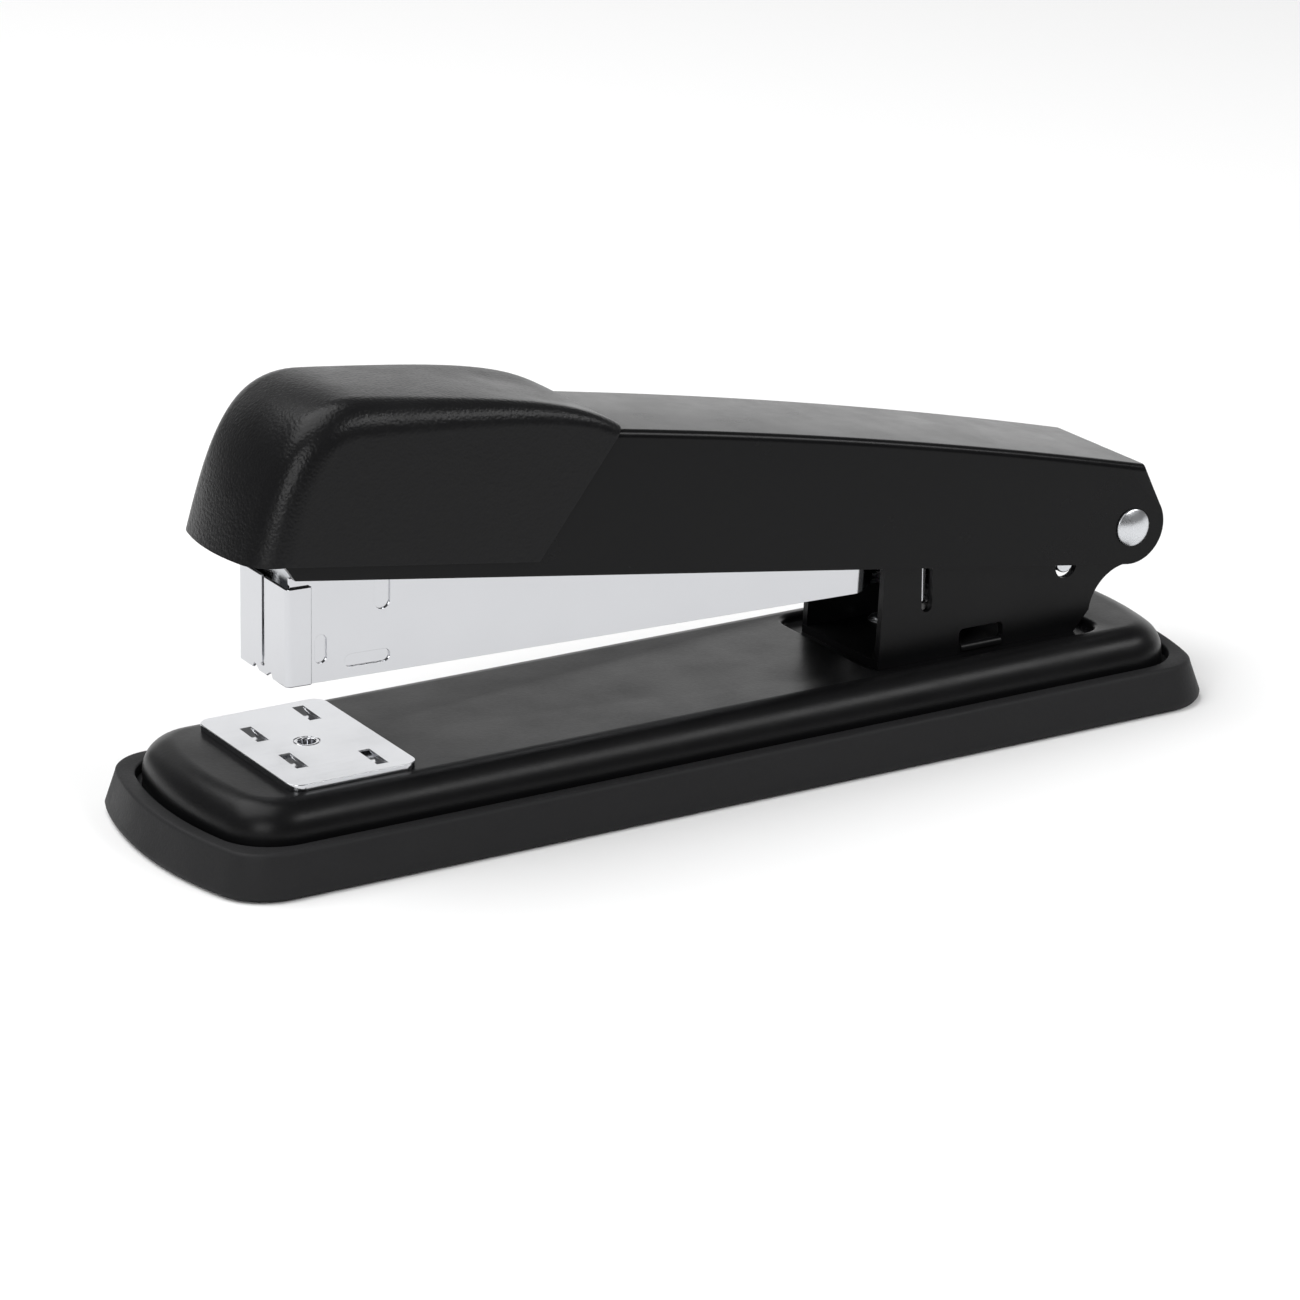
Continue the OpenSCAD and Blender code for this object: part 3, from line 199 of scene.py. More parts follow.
def surface(name, base, metallic, roughness, spread, grain, depth, stretch=(1, 1, 1), cell=False,
            shine=0.5, tint=0.12):
    """A procedural surface. grain and depth are the real size and height of its texture in mm,
    stretch draws the texture out along an axis, and spread is how far its roughness wanders."""
    material = bpy.data.materials.new(name)
    material.use_nodes = True
    tree = material.node_tree
    tree.nodes.clear()
    place = add_node(tree, "ShaderNodeTexCoord").outputs["Object"]
    drawn = add_node(tree, "ShaderNodeMapping", {"Vector": place, "Scale": stretch}).outputs[0]
    blotch = add_node(tree, "ShaderNodeTexNoise", {"Vector": place, "Scale": 1 / (9 * MM), "Detail": 4.0})
    if cell:
        warp = add_node(tree, "ShaderNodeTexNoise",
                        {"Vector": drawn, "Scale": 0.7 / (grain * MM), "Detail": 2.0})
        shift = add_node(tree, "ShaderNodeVectorMath",
                         {0: warp.outputs["Color"], 1: (0.7 * grain * MM,) * 3}, operation="MULTIPLY")
        bent = add_node(tree, "ShaderNodeVectorMath", {0: drawn, 1: shift.outputs[0]}, operation="ADD")
        fine = add_node(tree, "ShaderNodeTexVoronoi", {"Vector": bent.outputs[0], "Scale": 1 / (grain * MM)},
                        feature="SMOOTH_F1").outputs["Distance"]
    else:
        fine = add_node(tree, "ShaderNodeTexNoise",
                        {"Vector": drawn, "Scale": 1 / (grain * MM), "Detail": 3.0}).outputs["Fac"]
    wander = add_node(tree, "ShaderNodeMapRange",
                      {"Value": blotch.outputs["Fac"], "From Min": 0.3, "From Max": 0.7,
                       "To Min": roughness - spread, "To Max": roughness + spread})
    speck = add_node(tree, "ShaderNodeMapRange",
                     {"Value": fine, "From Min": 0.35, "From Max": 0.65,
                      "To Min": -0.35 * spread, "To Max": 0.35 * spread})
    rough = add_node(tree, "ShaderNodeMath", {0: wander.outputs[0], 1: speck.outputs[0]}, operation="ADD",
                     use_clamp=True)
    shade = linear(base)
    dark = tuple(c * (1 - tint) for c in shade[:3]) + (1.0,)
    light = tuple(min(1.0, c * (1 + tint)) for c in shade[:3]) + (1.0,)
    mix = add_node(tree, "ShaderNodeMix", {0: blotch.outputs["Fac"], 6: dark, 7: light}, data_type="RGBA")
    bump = add_node(tree, "ShaderNodeBump", {"Height": fine, "Distance": depth * MM, "Strength": 1.0})
    shader = add_node(tree, "ShaderNodeBsdfPrincipled",
                      {"Base Color": mix.outputs[2], "Metallic": metallic, "Roughness": rough.outputs[0],
                       "Normal": bump.outputs[0], "Specular IOR Level": shine})
    add_node(tree, "ShaderNodeOutputMaterial", {"Surface": shader.outputs[0]})
    return material


def make_materials():
    c = settings("colours")
    return {
        # Moulded rubber: matte, with a fine blasted mould texture that breaks up highlights
        "rubber": surface("moulded rubber", c.rubber, 0.0, 0.55, 0.07, 0.45, 0.03, shine=0.12),
        # Powder coat: satin black with the faint orange peel of fused powder
        "black_steel": surface("satin powder coat", c.coat, 0.0, 0.33, 0.04, 0.5, 0.012, shine=0.16),
        # Stoved enamel: smoother and glossier than the powder coat, with a long soft ripple
        "black_steel_gloss": surface("stoved enamel", c.enamel, 0.0, 0.24, 0.03, 1.8, 0.003, shine=0.14),
        # ABS with a leather grain: soft highlights that sparkle slightly where the grain turns
        "grained_plastic": surface("grained ABS", c.plastic, 0.0, 0.33, 0.04, 0.42, 0.045,
                                   cell=True, shine=0.17),
        # Plain moulded plastic
        "black_plastic": surface("moulded ABS", c.plastic, 0.0, 0.5, 0.06, 0.5, 0.01, shine=0.2),
        # Bright plating over rolled sheet: mirror-like, with faint rolling lines along X
        "chrome": surface("chromed sheet", c.chrome, 1.0, 0.1, 0.03, 0.35, 0.0008, (0.04, 1, 1), tint=0.03),
        # Cold-rolled strip: brighter lines along its length
        "bright_steel": surface("cold-rolled steel", c.steel, 1.0, 0.28, 0.06, 0.3, 0.002,
                                (0.04, 1, 1), tint=0.05),
        # Tempered wire and leaf
        "spring_steel": surface("spring steel", c.spring, 1.0, 0.32, 0.06, 0.25, 0.002,
                                (0.1, 1, 1), tint=0.08),
        # Turned and zinc plated: a soft metallic face with fine rings
        "plated_steel": surface("zinc-plated steel", c.zinc, 1.0, 0.3, 0.06, 0.3, 0.003, tint=0.06),
    }


MATERIALS = {}


def material(slot):
    if not MATERIALS:
        MATERIALS.update(make_materials())
    return MATERIALS[slot]


# ---------------------------------------------------------------- mesh helpers


def new_object(name, mesh):
    piece = bpy.data.objects.new(name, mesh)
    bpy.context.scene.collection.objects.link(piece)
    return piece


def from_faces(name, points, faces):
    mesh = bpy.data.meshes.new(name)
    mesh.from_pydata([tuple(p) for p in points], [], faces)
    mesh.validate()
    return new_object(name, mesh)


def face_outward(piece):
    bm = bmesh.new()
    bm.from_mesh(piece.data)
    bmesh.ops.remove_doubles(bm, verts=bm.verts, dist=1e-7)
    bmesh.ops.recalc_face_normals(bm, faces=bm.faces)
    bm.to_mesh(piece.data)
    bm.free()
    return piece


def loft(name, rings):
    """A closed solid over rings of equally many points."""
    n = len(rings[0])
    points = [p for ring in rings for p in ring]
    faces = [
        (k * n + j, k * n + (j + 1) % n, (k + 1) * n + (j + 1) % n, (k + 1) * n + j)
        for k in range(len(rings) - 1)
        for j in range(n)
    ]
    faces.append(tuple(range(n - 1, -1, -1)))
    faces.append(tuple((len(rings) - 1) * n + j for j in range(n)))
    return face_outward(from_faces(name, points, faces))


def lathe(name, profile, centre, axis, steps=72):
    """A closed solid of revolution from (radius, distance) points that start and end on the axis."""
    across = {"Y": Matrix.Rotation(-math.pi / 2, 3, "X"), "Z": Matrix.Identity(3)}[axis]
    points, faces, rows = [], [], []
    for radius, along in profile:
        count = 1 if radius < 1e-9 else steps
        rows.append((len(points), count))
        for i in range(count):
            a = 2 * math.pi * i / steps
            spot = Vector((radius * math.cos(a), radius * math.sin(a), along))
            points.append(Vector(centre) + across @ spot)
    for (a, na), (b, nb) in zip(rows, rows[1:]):
        for i in range(steps):
            j = (i + 1) % steps
            face = (a + i % na, a + j % na, b + j % nb, b + i % nb)
            faces.append(tuple(dict.fromkeys(face)))
    return face_outward(from_faces(name, points, faces))


def prism(name, outline, y0, y1):
    """A closed solid with the same (x, z) outline from y0 to y1."""
    return loft(name, [[(x, y, z) for x, z in outline] for y in (y0, y1)])


def block(name, low, high):
    outline = [(low[0], low[2]), (high[0], low[2]), (high[0], high[2]), (low[0], high[2])]
    return prism(name, outline, low[1], high[1])


def settle(piece):
    """Turns the piece's modifiers into plain mesh."""
    graph = bpy.context.evaluated_depsgraph_get()
    mesh = bpy.data.meshes.new_from_object(piece.evaluated_get(graph), depsgraph=graph)
    old = piece.data
    piece.modifiers.clear()
    piece.data = mesh
    bpy.data.meshes.remove(old)
    return piece


def carve(piece, tool, operation="DIFFERENCE"):
    cut = piece.modifiers.new("carve", "BOOLEAN")
    cut.operation = operation
    cut.solver = "MANIFOLD"
    cut.object = tool
    bpy.context.view_layer.update()
    settle(piece)
    bpy.data.objects.remove(tool)
    return piece


def soften(piece, width, segments=3, angle=40):
    """Rounds the sharp edges and evens out the shading of the faces between them."""
    bevel = piece.modifiers.new("soften", "BEVEL")
    bevel.width = width
    bevel.segments = segments
    bevel.limit_method = "ANGLE"
    bevel.angle_limit = math.radians(angle)
    bevel.miter_outer = "MITER_ARC"
    even = piece.modifiers.new("even", "WEIGHTED_NORMAL")
    even.keep_sharp = True
    for face in piece.data.polygons:
        face.use_smooth = True
    bpy.context.view_layer.update()
    return settle(piece)


def smooth(piece, angle=40):
    for face in piece.data.polygons:
        face.use_smooth = True
    piece.data.set_sharp_from_angle(angle=math.radians(angle))
    return piece


def show(piece, *nodes):
    """Gives a finished piece its material and its body, in place of those CAD nodes."""
    slot = SLOT_OF[nodes[0]]
    piece.data.materials.clear()
    piece.data.materials.append(material(slot))
    for face in piece.data.polygons:
        face.material_index = 0
    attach(piece, BODY_OF[nodes[0]])
    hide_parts(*nodes)
    return piece


def merged_copy(node, name):
    """A copy of a CAD node with its loose triangles joined into whole faces."""
    piece = new_object(name, NODES[node].data.copy())
    bm = bmesh.new()
    bm.from_mesh(piece.data)
    bmesh.ops.remove_doubles(bm, verts=bm.verts, dist=2e-6)
    bmesh.ops.dissolve_limit(bm, angle_limit=math.radians(0.6), verts=bm.verts, edges=bm.edges)
    bm.to_mesh(piece.data)
    bm.free()
    for layer in list(piece.data.attributes):
        if layer.name == "custom_normal":
            piece.data.attributes.remove(layer)
    return piece


# ---------------------------------------------------------------- outlines


def bowed_end(half, end_r, r, end_steps=12, corner_steps=12):
    """Half of a bowed end with a rounded corner, from the middle round to the side."""
    sweep = math.asin((half - r) / (end_r - r))
    corner_x = end_r - math.sqrt((end_r - r) ** 2 - (half - r) ** 2)
    bow = [
        (end_r - end_r * math.cos(sweep * i / end_steps), end_r * math.sin(sweep * i / end_steps))
        for i in range(end_steps + 1)
    ]
    turns = [sweep + (math.pi / 2 - sweep) * i / corner_steps for i in range(1, corner_steps + 1)]
    return bow + [(corner_x - r * math.cos(a), half - r + r * math.sin(a)) for a in turns]


def base_outline(inset, r):
    """The sole's outline drawn in by inset, with corners of radius r."""
    sizes = settings("base")
    half, reach = SOLE_HIGH.y, SOLE_HIGH.x
    bow_r = (half**2 + sizes.end_bow**2) / (2 * sizes.end_bow)
    side = [(x + inset - reach, y) for x, y in bowed_end(half - inset, bow_r - inset, r)]
    far = side + [(-x, y) for x, y in reversed(side)]
    return far + [(x, -y) for x, y in reversed(far[1:-1])]


def base_ring(z, inset, r):
    return [(x, y, z) for x, y in base_outline(inset, r)]


def rounded_box(cx, length_x, width_y, r, z, steps=8):
    points = []
    for k, (sx, sy) in enumerate(((1, 1), (-1, 1), (-1, -1), (1, -1))):
        for i in range(steps + 1):
            a = math.pi / 2 * (k + i / steps)
            points.append((cx + sx * (length_x / 2 - r) + r * math.cos(a),
                           sy * (width_y / 2 - r) + r * math.sin(a), z))
    return points


def quarter_turn(steps):
    return [math.pi / 2 * i / steps for i in range(steps + 1)]


# ---------------------------------------------------------------- base

# Height and inset of the sole's foot, from the table up
SOLE_FOOT = ((0, 1.0 * MM), (0.25 * MM, 0.45 * MM), (0.7 * MM, 0.1 * MM), (1.3 * MM, 0))
# How far the lip of the sole stands out past its drafted side
SOLE_LIP_OUT = 0.2 * MM
GROOVE_EDGE_R = 0.25 * MM
POST_GAP = 0.05 * MM


def build_sole():
    s = settings("base")
    top = SOLE_HIGH.z
    rows = list(SOLE_FOOT)
    rows += [
        (top - s.lip_r * (1 - math.sin(a)), s.draft + s.lip_r * (1 - math.cos(a)) - SOLE_LIP_OUT)
        for a in quarter_turn(6)
    ]
    rings = [base_ring(z, inset, s.corner_r - inset) for z, inset in rows]
    groove = s.plate_inset - s.groove_w
    edge = GROOVE_EDGE_R
    rings += [
        base_ring(top - edge * (1 - math.cos(a)), groove - edge + edge * math.sin(a), s.plate_corner_r)
        for a in quarter_turn(3)
    ]
    pocket = s.plate_inset - CLEARANCE
    rings += [
        base_ring(top - s.groove_depth, groove, s.plate_corner_r),
        base_ring(top - s.groove_depth, pocket, s.plate_corner_r),
        base_ring(s.floor, pocket, s.plate_corner_r),
    ]
    piece = loft("sole_tray", rings)
    low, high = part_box("anvil_button")
    middle = (low + high) / 2
    hole_r = (high.x - low.x) / 2 + s.button_gap
    carve(piece, lathe("tool", [(0, -MM), (hole_r, -MM), (hole_r, 9 * MM), (0, 9 * MM)],
                       (middle.x, 0, 0), "Z"))
    show(smooth(piece), "sole")


def domed_slab(name, inset, z0, z1, edge_r):
    s = settings("base")
    corner_r = s.plate_corner_r - (inset - s.plate_inset)
    rings = [base_ring(z0, inset, corner_r)]
    for a in quarter_turn(14):
        inward = edge_r * (1 - math.cos(a))
        rings.append(base_ring(z1 - edge_r * (1 - math.sin(a)), inset + inward, corner_r - inward))
    return loft(name, rings)


def build_base_plate():
    s = settings("base")
    deck = PLATE_HIGH.z
    foot = PLATE_LOW.z
    low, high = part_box("bracket")
    floor_end = low.x + s.bracket_floor_l
    middle = (low.x + floor_end) / 2
    room_x = floor_end - low.x + 2 * s.recess_gap_x
    room_y = high.y - low.y + 2 * s.recess_gap_y
    recess_z = deck - s.recess_depth
    piece = domed_slab("base_pressing", s.plate_inset, foot, deck, s.edge_r)
    inner = domed_slab("inner", s.plate_inset + s.plate_t, foot - MM, deck - s.plate_t, s.edge_r - s.plate_t)
    grow = 2 * s.plate_t
    well = loft("well", [
        rounded_box(middle, room_x + grow, room_y + grow, s.recess_r + s.plate_t, z)
        for z in (recess_z - s.plate_t, deck + MM)
    ])
    carve(inner, well)
    carve(piece, inner)
    foot_r = s.recess_depth - s.recess_edge
    rows = [(recess_z + foot_r * (1 - math.cos(a)), -foot_r * (1 - math.sin(a))) for a in quarter_turn(5)]
    rows += [(deck - s.recess_edge * (1 - math.sin(a)), s.recess_edge * (1 - math.cos(a)))
             for a in quarter_turn(7)[1:]]
    rows.append((deck + MM, s.recess_edge))
    cutter = loft("cutter", [
        rounded_box(middle, room_x + 2 * out, room_y + 2 * out, s.recess_r + out, z) for z, out in rows
    ])
    carve(piece, cutter)
    post_low, post_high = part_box("anvil_post")
    centre = (post_low + post_high) / 2
    hole_r = (post_high.x - post_low.x) / 2 + POST_GAP
    carve(piece, lathe("tool", [(0, 0), (hole_r, 0), (hole_r, 20 * MM), (0, 20 * MM)], (centre.x, 0, 0), "Z"))
    show(smooth(piece, 50), "base_plate")


# ---------------------------------------------------------------- cap and arm

ARM_SLOPE = 0.257
ARM_CURVE = 0.5
ARM_TILT = math.radians(8.5)
ARM_REAR = Vector((PIVOT.x + 2.3 * MM, 0, PIVOT.z + 9.5 * MM))
CAP_REAR_X = CAP_HIGH.x
CAP_LOWER_REAR_X = FRONT + 56.5 * MM
ARM_FRONT_X = FRONT + 18.7 * MM
# How sharply the cap's top falls off at its rear
CAP_FALL = 6
# The arm's front edge inside the cap, as distances along X and down: forward of where the cap's
# top starts, behind the cap's corner, and forward of that corner at the lip
ARM_BROW = (4 * MM, 3.2 * MM)
ARM_CHEEK = (2.6 * MM, 9 * MM)
ARM_LIP = 0.2 * MM
# How far the cap's rear edge leans back, and over what height
CAP_RAKE = (1.5 * MM, 2 * MM)


def arm_top(x):
    run = ARM_REAR.x - x
    return ARM_REAR.z + ARM_SLOPE * run - ARM_CURVE * run * run


def arm_bottom(x):
    ear_r = settings("arm").ear_r
    return PIVOT.z - ear_r / math.cos(ARM_TILT) + math.tan(ARM_TILT) * (PIVOT.x - x)


def cap_start():
    return CAP_LOW.x + settings("arm").cap_front_run


def cap_lip():
    return arm_bottom(ARM_FRONT_X) + settings("arm").cap_lift


def cap_path(inset, curl_steps, top_steps):
    """The cap's middle line from below the front lip, up, over and back. Each entry is x, z,
    inward x, inward z, edge radius and bow radius."""
    s = settings("arm")
    start, lip = cap_start(), cap_lip()
    foot = arm_bottom(CAP_REAR_X) - MM
    top = arm_top(start) + s.cap_rise
    fall = math.atan(ARM_SLOPE - 2 * ARM_CURVE * (ARM_REAR.x - start))
    p = [
        Vector((CAP_LOW.x, lip)),
        Vector((CAP_LOW.x + s.cap_cheek * math.sin(s.cap_lean), lip + s.cap_cheek * math.cos(s.cap_lean))),
        Vector((start - s.cap_brow * math.cos(fall), top + s.cap_brow * math.sin(fall))),
        Vector((start, top)),
    ]
    first_x = CAP_LOW.x + inset / math.cos(s.cap_lean) - math.tan(s.cap_lean) * (lip - foot)
    rows = [(first_x, foot, 1, 0, s.cap_corner_r, s.cap_bow_r)]
    for i in range(curl_steps + 1):
        t = i / curl_steps
        q = (1 - t) ** 3 * p[0] + 3 * (1 - t) ** 2 * t * p[1] + 3 * (1 - t) * t * t * p[2] + t**3 * p[3]
        d = (1 - t) ** 2 * (p[1] - p[0]) + 2 * (1 - t) * t * (p[2] - p[1]) + t * t * (p[3] - p[2])
        dx, dz = d.normalized()
        bow = 1 / (dz * dz / s.cap_bow_r + dx * dx / s.cap_crown_r)
        rows.append((q.x + inset * dz, q.y - inset * dx, dz, -dx,
                     s.cap_corner_r + (s.cap_edge_r - s.cap_corner_r) * dx, bow))
    span = CAP_REAR_X + MM - start
    for i in range(1, top_steps + 1):
        x = start + span * i / top_steps
        t = (x - start) / (CAP_REAR_X - start)
        z = arm_top(x) + s.cap_step + (s.cap_rise - s.cap_step) * (1 - t**CAP_FALL) - inset
        edge = s.cap_edge_r + (s.cap_rear_edge_r - s.cap_edge_r) * i / top_steps
        rows.append((x, z, 0, -1, edge, s.cap_crown_r))
    return rows, foot


def cap_form(name, inset, curl_steps=28, top_steps=36):
    s = settings("arm")
    half = CAP_HIGH.y - inset
    rows, foot = cap_path(inset, curl_steps, top_steps)
    last = len(rows) - 1
    foot_front = CAP_LOW.x + 2 * s.cap_corner_r
    scoop_x = FRONT + s.scoop_x
    rings = []
    for k, (x, z, nx, nz, edge, bow) in enumerate(rows):
        side = []
        for d, y in bowed_end(half, bow - inset, edge - inset, 14, 10):
            px, pz = x + nx * d, z + nz * d
            if nz < 0 and inset == 0:
                away = ((px - scoop_x) / s.scoop_l) ** 2 + (y / s.scoop_w) ** 4
                pz -= s.scoop * math.exp(-away)
            side.append((px, y, pz))
        foot_x = foot_front + (CAP_REAR_X + MM - foot_front) * k / last
        side.append((foot_x, half, foot - MM * k / last))
        rings.append(side + [(px, -y, pz) for px, y, pz in reversed(side[1:])])
    return loft(name, rings)


def arm_crown(gap, steps=40):
    start = cap_start()
    xs = [ARM_REAR.x + (start - ARM_REAR.x) * i / steps for i in range(steps + 1)]
    return [(x, arm_top(x) + gap) for x in xs]


def arm_front(gap):
    s = settings("arm")
    start = cap_start()
    corner = CAP_LOW.x + s.cap_corner_r
    return [
        (start - ARM_BROW[0] - gap, arm_top(start) - ARM_BROW[1]),
        (corner + ARM_CHEEK[0] - gap, arm_top(start) - ARM_CHEEK[1]),
        (corner - ARM_LIP - gap, cap_lip()),
    ]


def build_cap():
    s = settings("arm")
    lip = cap_lip()
    piece = cap_form("cap_moulding", 0)
    side = prism("side", [
        (FRONT, lip),
        (CAP_LOW.x + s.cap_corner_r, lip),
        (CAP_LOWER_REAR_X, arm_bottom(CAP_LOWER_REAR_X) + s.cap_lift),
        (CAP_REAR_X - CAP_RAKE[0], arm_top(CAP_REAR_X)),
        (CAP_REAR_X, arm_top(CAP_REAR_X) + CAP_RAKE[1]),
        (CAP_REAR_X, 0.1),
        (FRONT, 0.1),
    ], -0.05, 0.05)
    carve(piece, side, "INTERSECT")
    carve(piece, cap_form("hollow", s.cap_wall, 12, 16))
    gap = CLEARANCE
    foot_x = arm_front(gap)[2][0]
    envelope = [(foot_x, 0), (ARM_REAR.x + MM, 0), (ARM_REAR.x + MM, ARM_REAR.z)]
    envelope += arm_crown(gap) + arm_front(gap)
    carve(piece, prism("envelope", envelope, ARM_LOW.y - gap, ARM_HIGH.y + gap))
    inside = ARM_HIGH.y - s.sheet
    carve(piece, block("mouth", (FRONT, -inside, 0), (0, inside, arm_bottom(CAP_LOW.x) + MM)))
    show(soften(piece, 0.3 * MM, 2, 62), "arm_cap")


def build_arm():
    s = settings("arm")
    ear_start = -math.pi / 2 - ARM_TILT
    rise, reach = ARM_REAR.z - PIVOT.z, ARM_REAR.x - PIVOT.x
    ear_end = math.atan2(rise, reach) - math.acos(s.ear_r / math.hypot(rise, reach))
    ear = [ear_start + (ear_end - ear_start) * i / 40 for i in range(41)]
    fixed = [(ARM_FRONT_X, arm_bottom(ARM_FRONT_X))]
    fixed += [(PIVOT.x + s.ear_r * math.cos(a), PIVOT.z + s.ear_r * math.sin(a)) for a in ear]
    rings = []
    half = ARM_HIGH.y
    turn = quarter_turn(8)
    stations = [(-1, a) for a in reversed(turn)] + [(1, a) for a in turn]
    for sign, a in stations:
        drop = s.top_edge_r * (1 - math.cos(a))
        y = sign * (half - s.top_edge_r * (1 - math.sin(a)))
        crown = [(x, z - drop) for x, z in arm_crown(0)]
        rings.append([(x, y, z) for x, z in fixed + crown + arm_front(0)])
    piece = loft("arm_pressing", rings)
    inside = half - s.sheet
    hollow = [(FRONT, -MM), (0.1, -MM)] + [(x, z - s.sheet) for x, z in
                                          [(0.1, arm_top(0.1))] + arm_crown(0) + [(FRONT, arm_top(FRONT))]]
    carve(piece, prism("hollow", hollow, -inside, inside))
    bore, reach = s.pivot_bore_r, 30 * MM
    carve(piece, lathe("tool", [(0, -reach), (bore, -reach), (bore, reach), (0, reach)], PIVOT, "Y"))
    show(smooth(piece, 38), "arm_shell")


# ---------------------------------------------------------------- sheet-metal and turned pieces

# Node, the name of the piece shown for it, and the rounding of its edges
PRESSED = (
    ("bracket", "bracket_pressing", 0.22 * MM),
    ("anvil", "anvil_plate", 0.18 * MM),
    ("magazine_channel", "magazine_sheet", 0.2 * MM),
    ("nose", "nose_sheet", 0.2 * MM),
    ("staple_rail", "rail_sheet", 0.12 * MM),
    ("rear_bulkhead", "rear_plate", 0.12 * MM),
    ("stop_bars", "stop_links", 0.15 * MM),
    ("follower", "pusher_saddle", 0.15 * MM),
    ("driver_blade", "driver_plate", 0.08 * MM),
    ("driver_spring", "driver_leaf", 0.08 * MM),
    ("anvil_post", "anvil_stem", 0.2 * MM),
    ("anvil_button", "release_button", 0.4 * MM),
    ("pivot_bushes", "spacer_bushes", 0.15 * MM),
    ("pivot_washers", "spacer_washers", 0.15 * MM),
    ("spring_pin", "hook_pin", 0.25 * MM),
    ("stop_pin", "cross_pin", 0.15 * MM),
    ("follower_rod", "guide_rod", 0.15 * MM),
    ("blade_rivet", "blade_fixing", 0.2 * MM),
)


def build_pressed():
    for node, name, width in PRESSED:
        show(soften(merged_copy(node, name), width), node)


# The pivot rivet's head and shank, and the small step in and down from its rim to its dome
PIVOT_DOME_H = 1.1 * MM
PIVOT_RIM_H = 0.3 * MM
PIVOT_SHANK_R = 2 * MM
PIVOT_STEP = (0.05 * MM, 0.06 * MM)


def build_pivot():
    low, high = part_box("pivot_pin")
    head_r = (high.z - low.z) / 2
    dome_h, rim, shank_r = PIVOT_DOME_H, PIVOT_RIM_H, PIVOT_SHANK_R
    half = high.y - dome_h
    face_r = head_r - PIVOT_STEP[0]
    ball_r = (face_r**2 + (dome_h - rim) ** 2) / (2 * (dome_h - rim))
    sweep = math.asin(face_r / ball_r)
    dome = [(ball_r * math.sin(sweep * i / 14), half + dome_h - ball_r + ball_r * math.cos(sweep * i / 14))
            for i in range(15)]
    right = dome + [(head_r, half + rim - PIVOT_STEP[1]), (head_r, half), (shank_r, half)]
    profile = right + [(r, -d) for r, d in reversed(right)]
    show(smooth(lathe("pivot_rivet", profile, PIVOT, "Y", 96), 50), "pivot_pin")


# ---------------------------------------------------------------- Geometry Nodes: springs and rivets


def new_tree(name, inputs):
    """A Geometry Nodes tree with named inputs, its group input node and their identifiers."""
    tree = bpy.data.node_groups.new(name, "GeometryNodeTree")
    tree.interface.new_socket("Geometry", in_out="INPUT", socket_type="NodeSocketGeometry")
    ids = {
        label: tree.interface.new_socket(label, in_out="INPUT", socket_type=kind).identifier
        for label, kind in inputs
    }
    tree.interface.new_socket("Geometry", in_out="OUTPUT", socket_type="NodeSocketGeometry")
    return tree, add_node(tree, "NodeGroupInput"), ids


def end_tree(tree, geometry, paint):
    real = add_node(tree, "GeometryNodeRealizeInstances", {"Geometry": geometry})
    done = add_node(tree, "GeometryNodeSetMaterial", {"Geometry": real.outputs[0], "Material": paint})
    add_node(tree, "NodeGroupOutput", {"Geometry": done.outputs[0]})


def run_tree(name, mesh, tree, ids, values):
    piece = new_object(name, mesh)
    modifier = piece.modifiers.new("build", "NODES")
    modifier.node_group = tree
    for label, value in values.items():
        modifier[ids[label]] = value
    bpy.context.view_layer.update()
    return settle(piece)


def coil_tree():
    """A coil spring along +Z from the origin, closed at both ends."""
    tree, start, ids = new_tree("coil spring", (
        ("Radius", "NodeSocketFloat"), ("Wire radius", "NodeSocketFloat"), ("Length", "NodeSocketFloat"),
        ("Turns", "NodeSocketFloat"), ("Material", "NodeSocketMaterial")))
    out = start.outputs
    line = add_node(tree, "GeometryNodeCurveSpiral", {
        "Resolution": 24, "Rotations": out["Turns"], "Start Radius": out["Radius"],
        "End Radius": out["Radius"], "Height": out["Length"]})
    section = add_node(tree, "GeometryNodeCurvePrimitiveCircle",
                       {"Resolution": 8, "Radius": out["Wire radius"]})
    tube = add_node(tree, "GeometryNodeCurveToMesh", {
        "Curve": line.outputs[0], "Profile Curve": section.outputs[0], "Fill Caps": True})
    round_off = add_node(tree, "GeometryNodeSetShadeSmooth", {"Geometry": tube.outputs[0]})
    end_tree(tree, round_off.outputs[0], out["Material"])
    return tree, ids


def rivet_tree():
    """One rivet at every point of the mesh that the tree is given."""
    tree, start, ids = new_tree("rivets", (("Rivet", "NodeSocketObject"), ("Material", "NodeSocketMaterial")))
    info = add_node(tree, "GeometryNodeObjectInfo", {"Object": start.outputs["Rivet"]})
    spots = add_node(tree, "GeometryNodeInstanceOnPoints", {
        "Points": start.outputs["Geometry"], "Instance": info.outputs["Geometry"]})
    end_tree(tree, spots.outputs[0], start.outputs["Material"])
    return tree, ids


def coil(name, node, base, direction, radius, wire_r, reach, turns):
    tree, ids = coil_tree()
    piece = run_tree(name, bpy.data.meshes.new(name), tree, ids, {
        "Radius": radius, "Wire radius": wire_r, "Length": reach - 2 * wire_r, "Turns": float(turns),
        "Material": material(SLOT_OF[node])})
    turn = direction.to_track_quat("Z", "Y").to_matrix().to_4x4()
    piece.data.transform(Matrix.Translation(base + direction * wire_r) @ turn)
    return show(face_outward(piece), node)


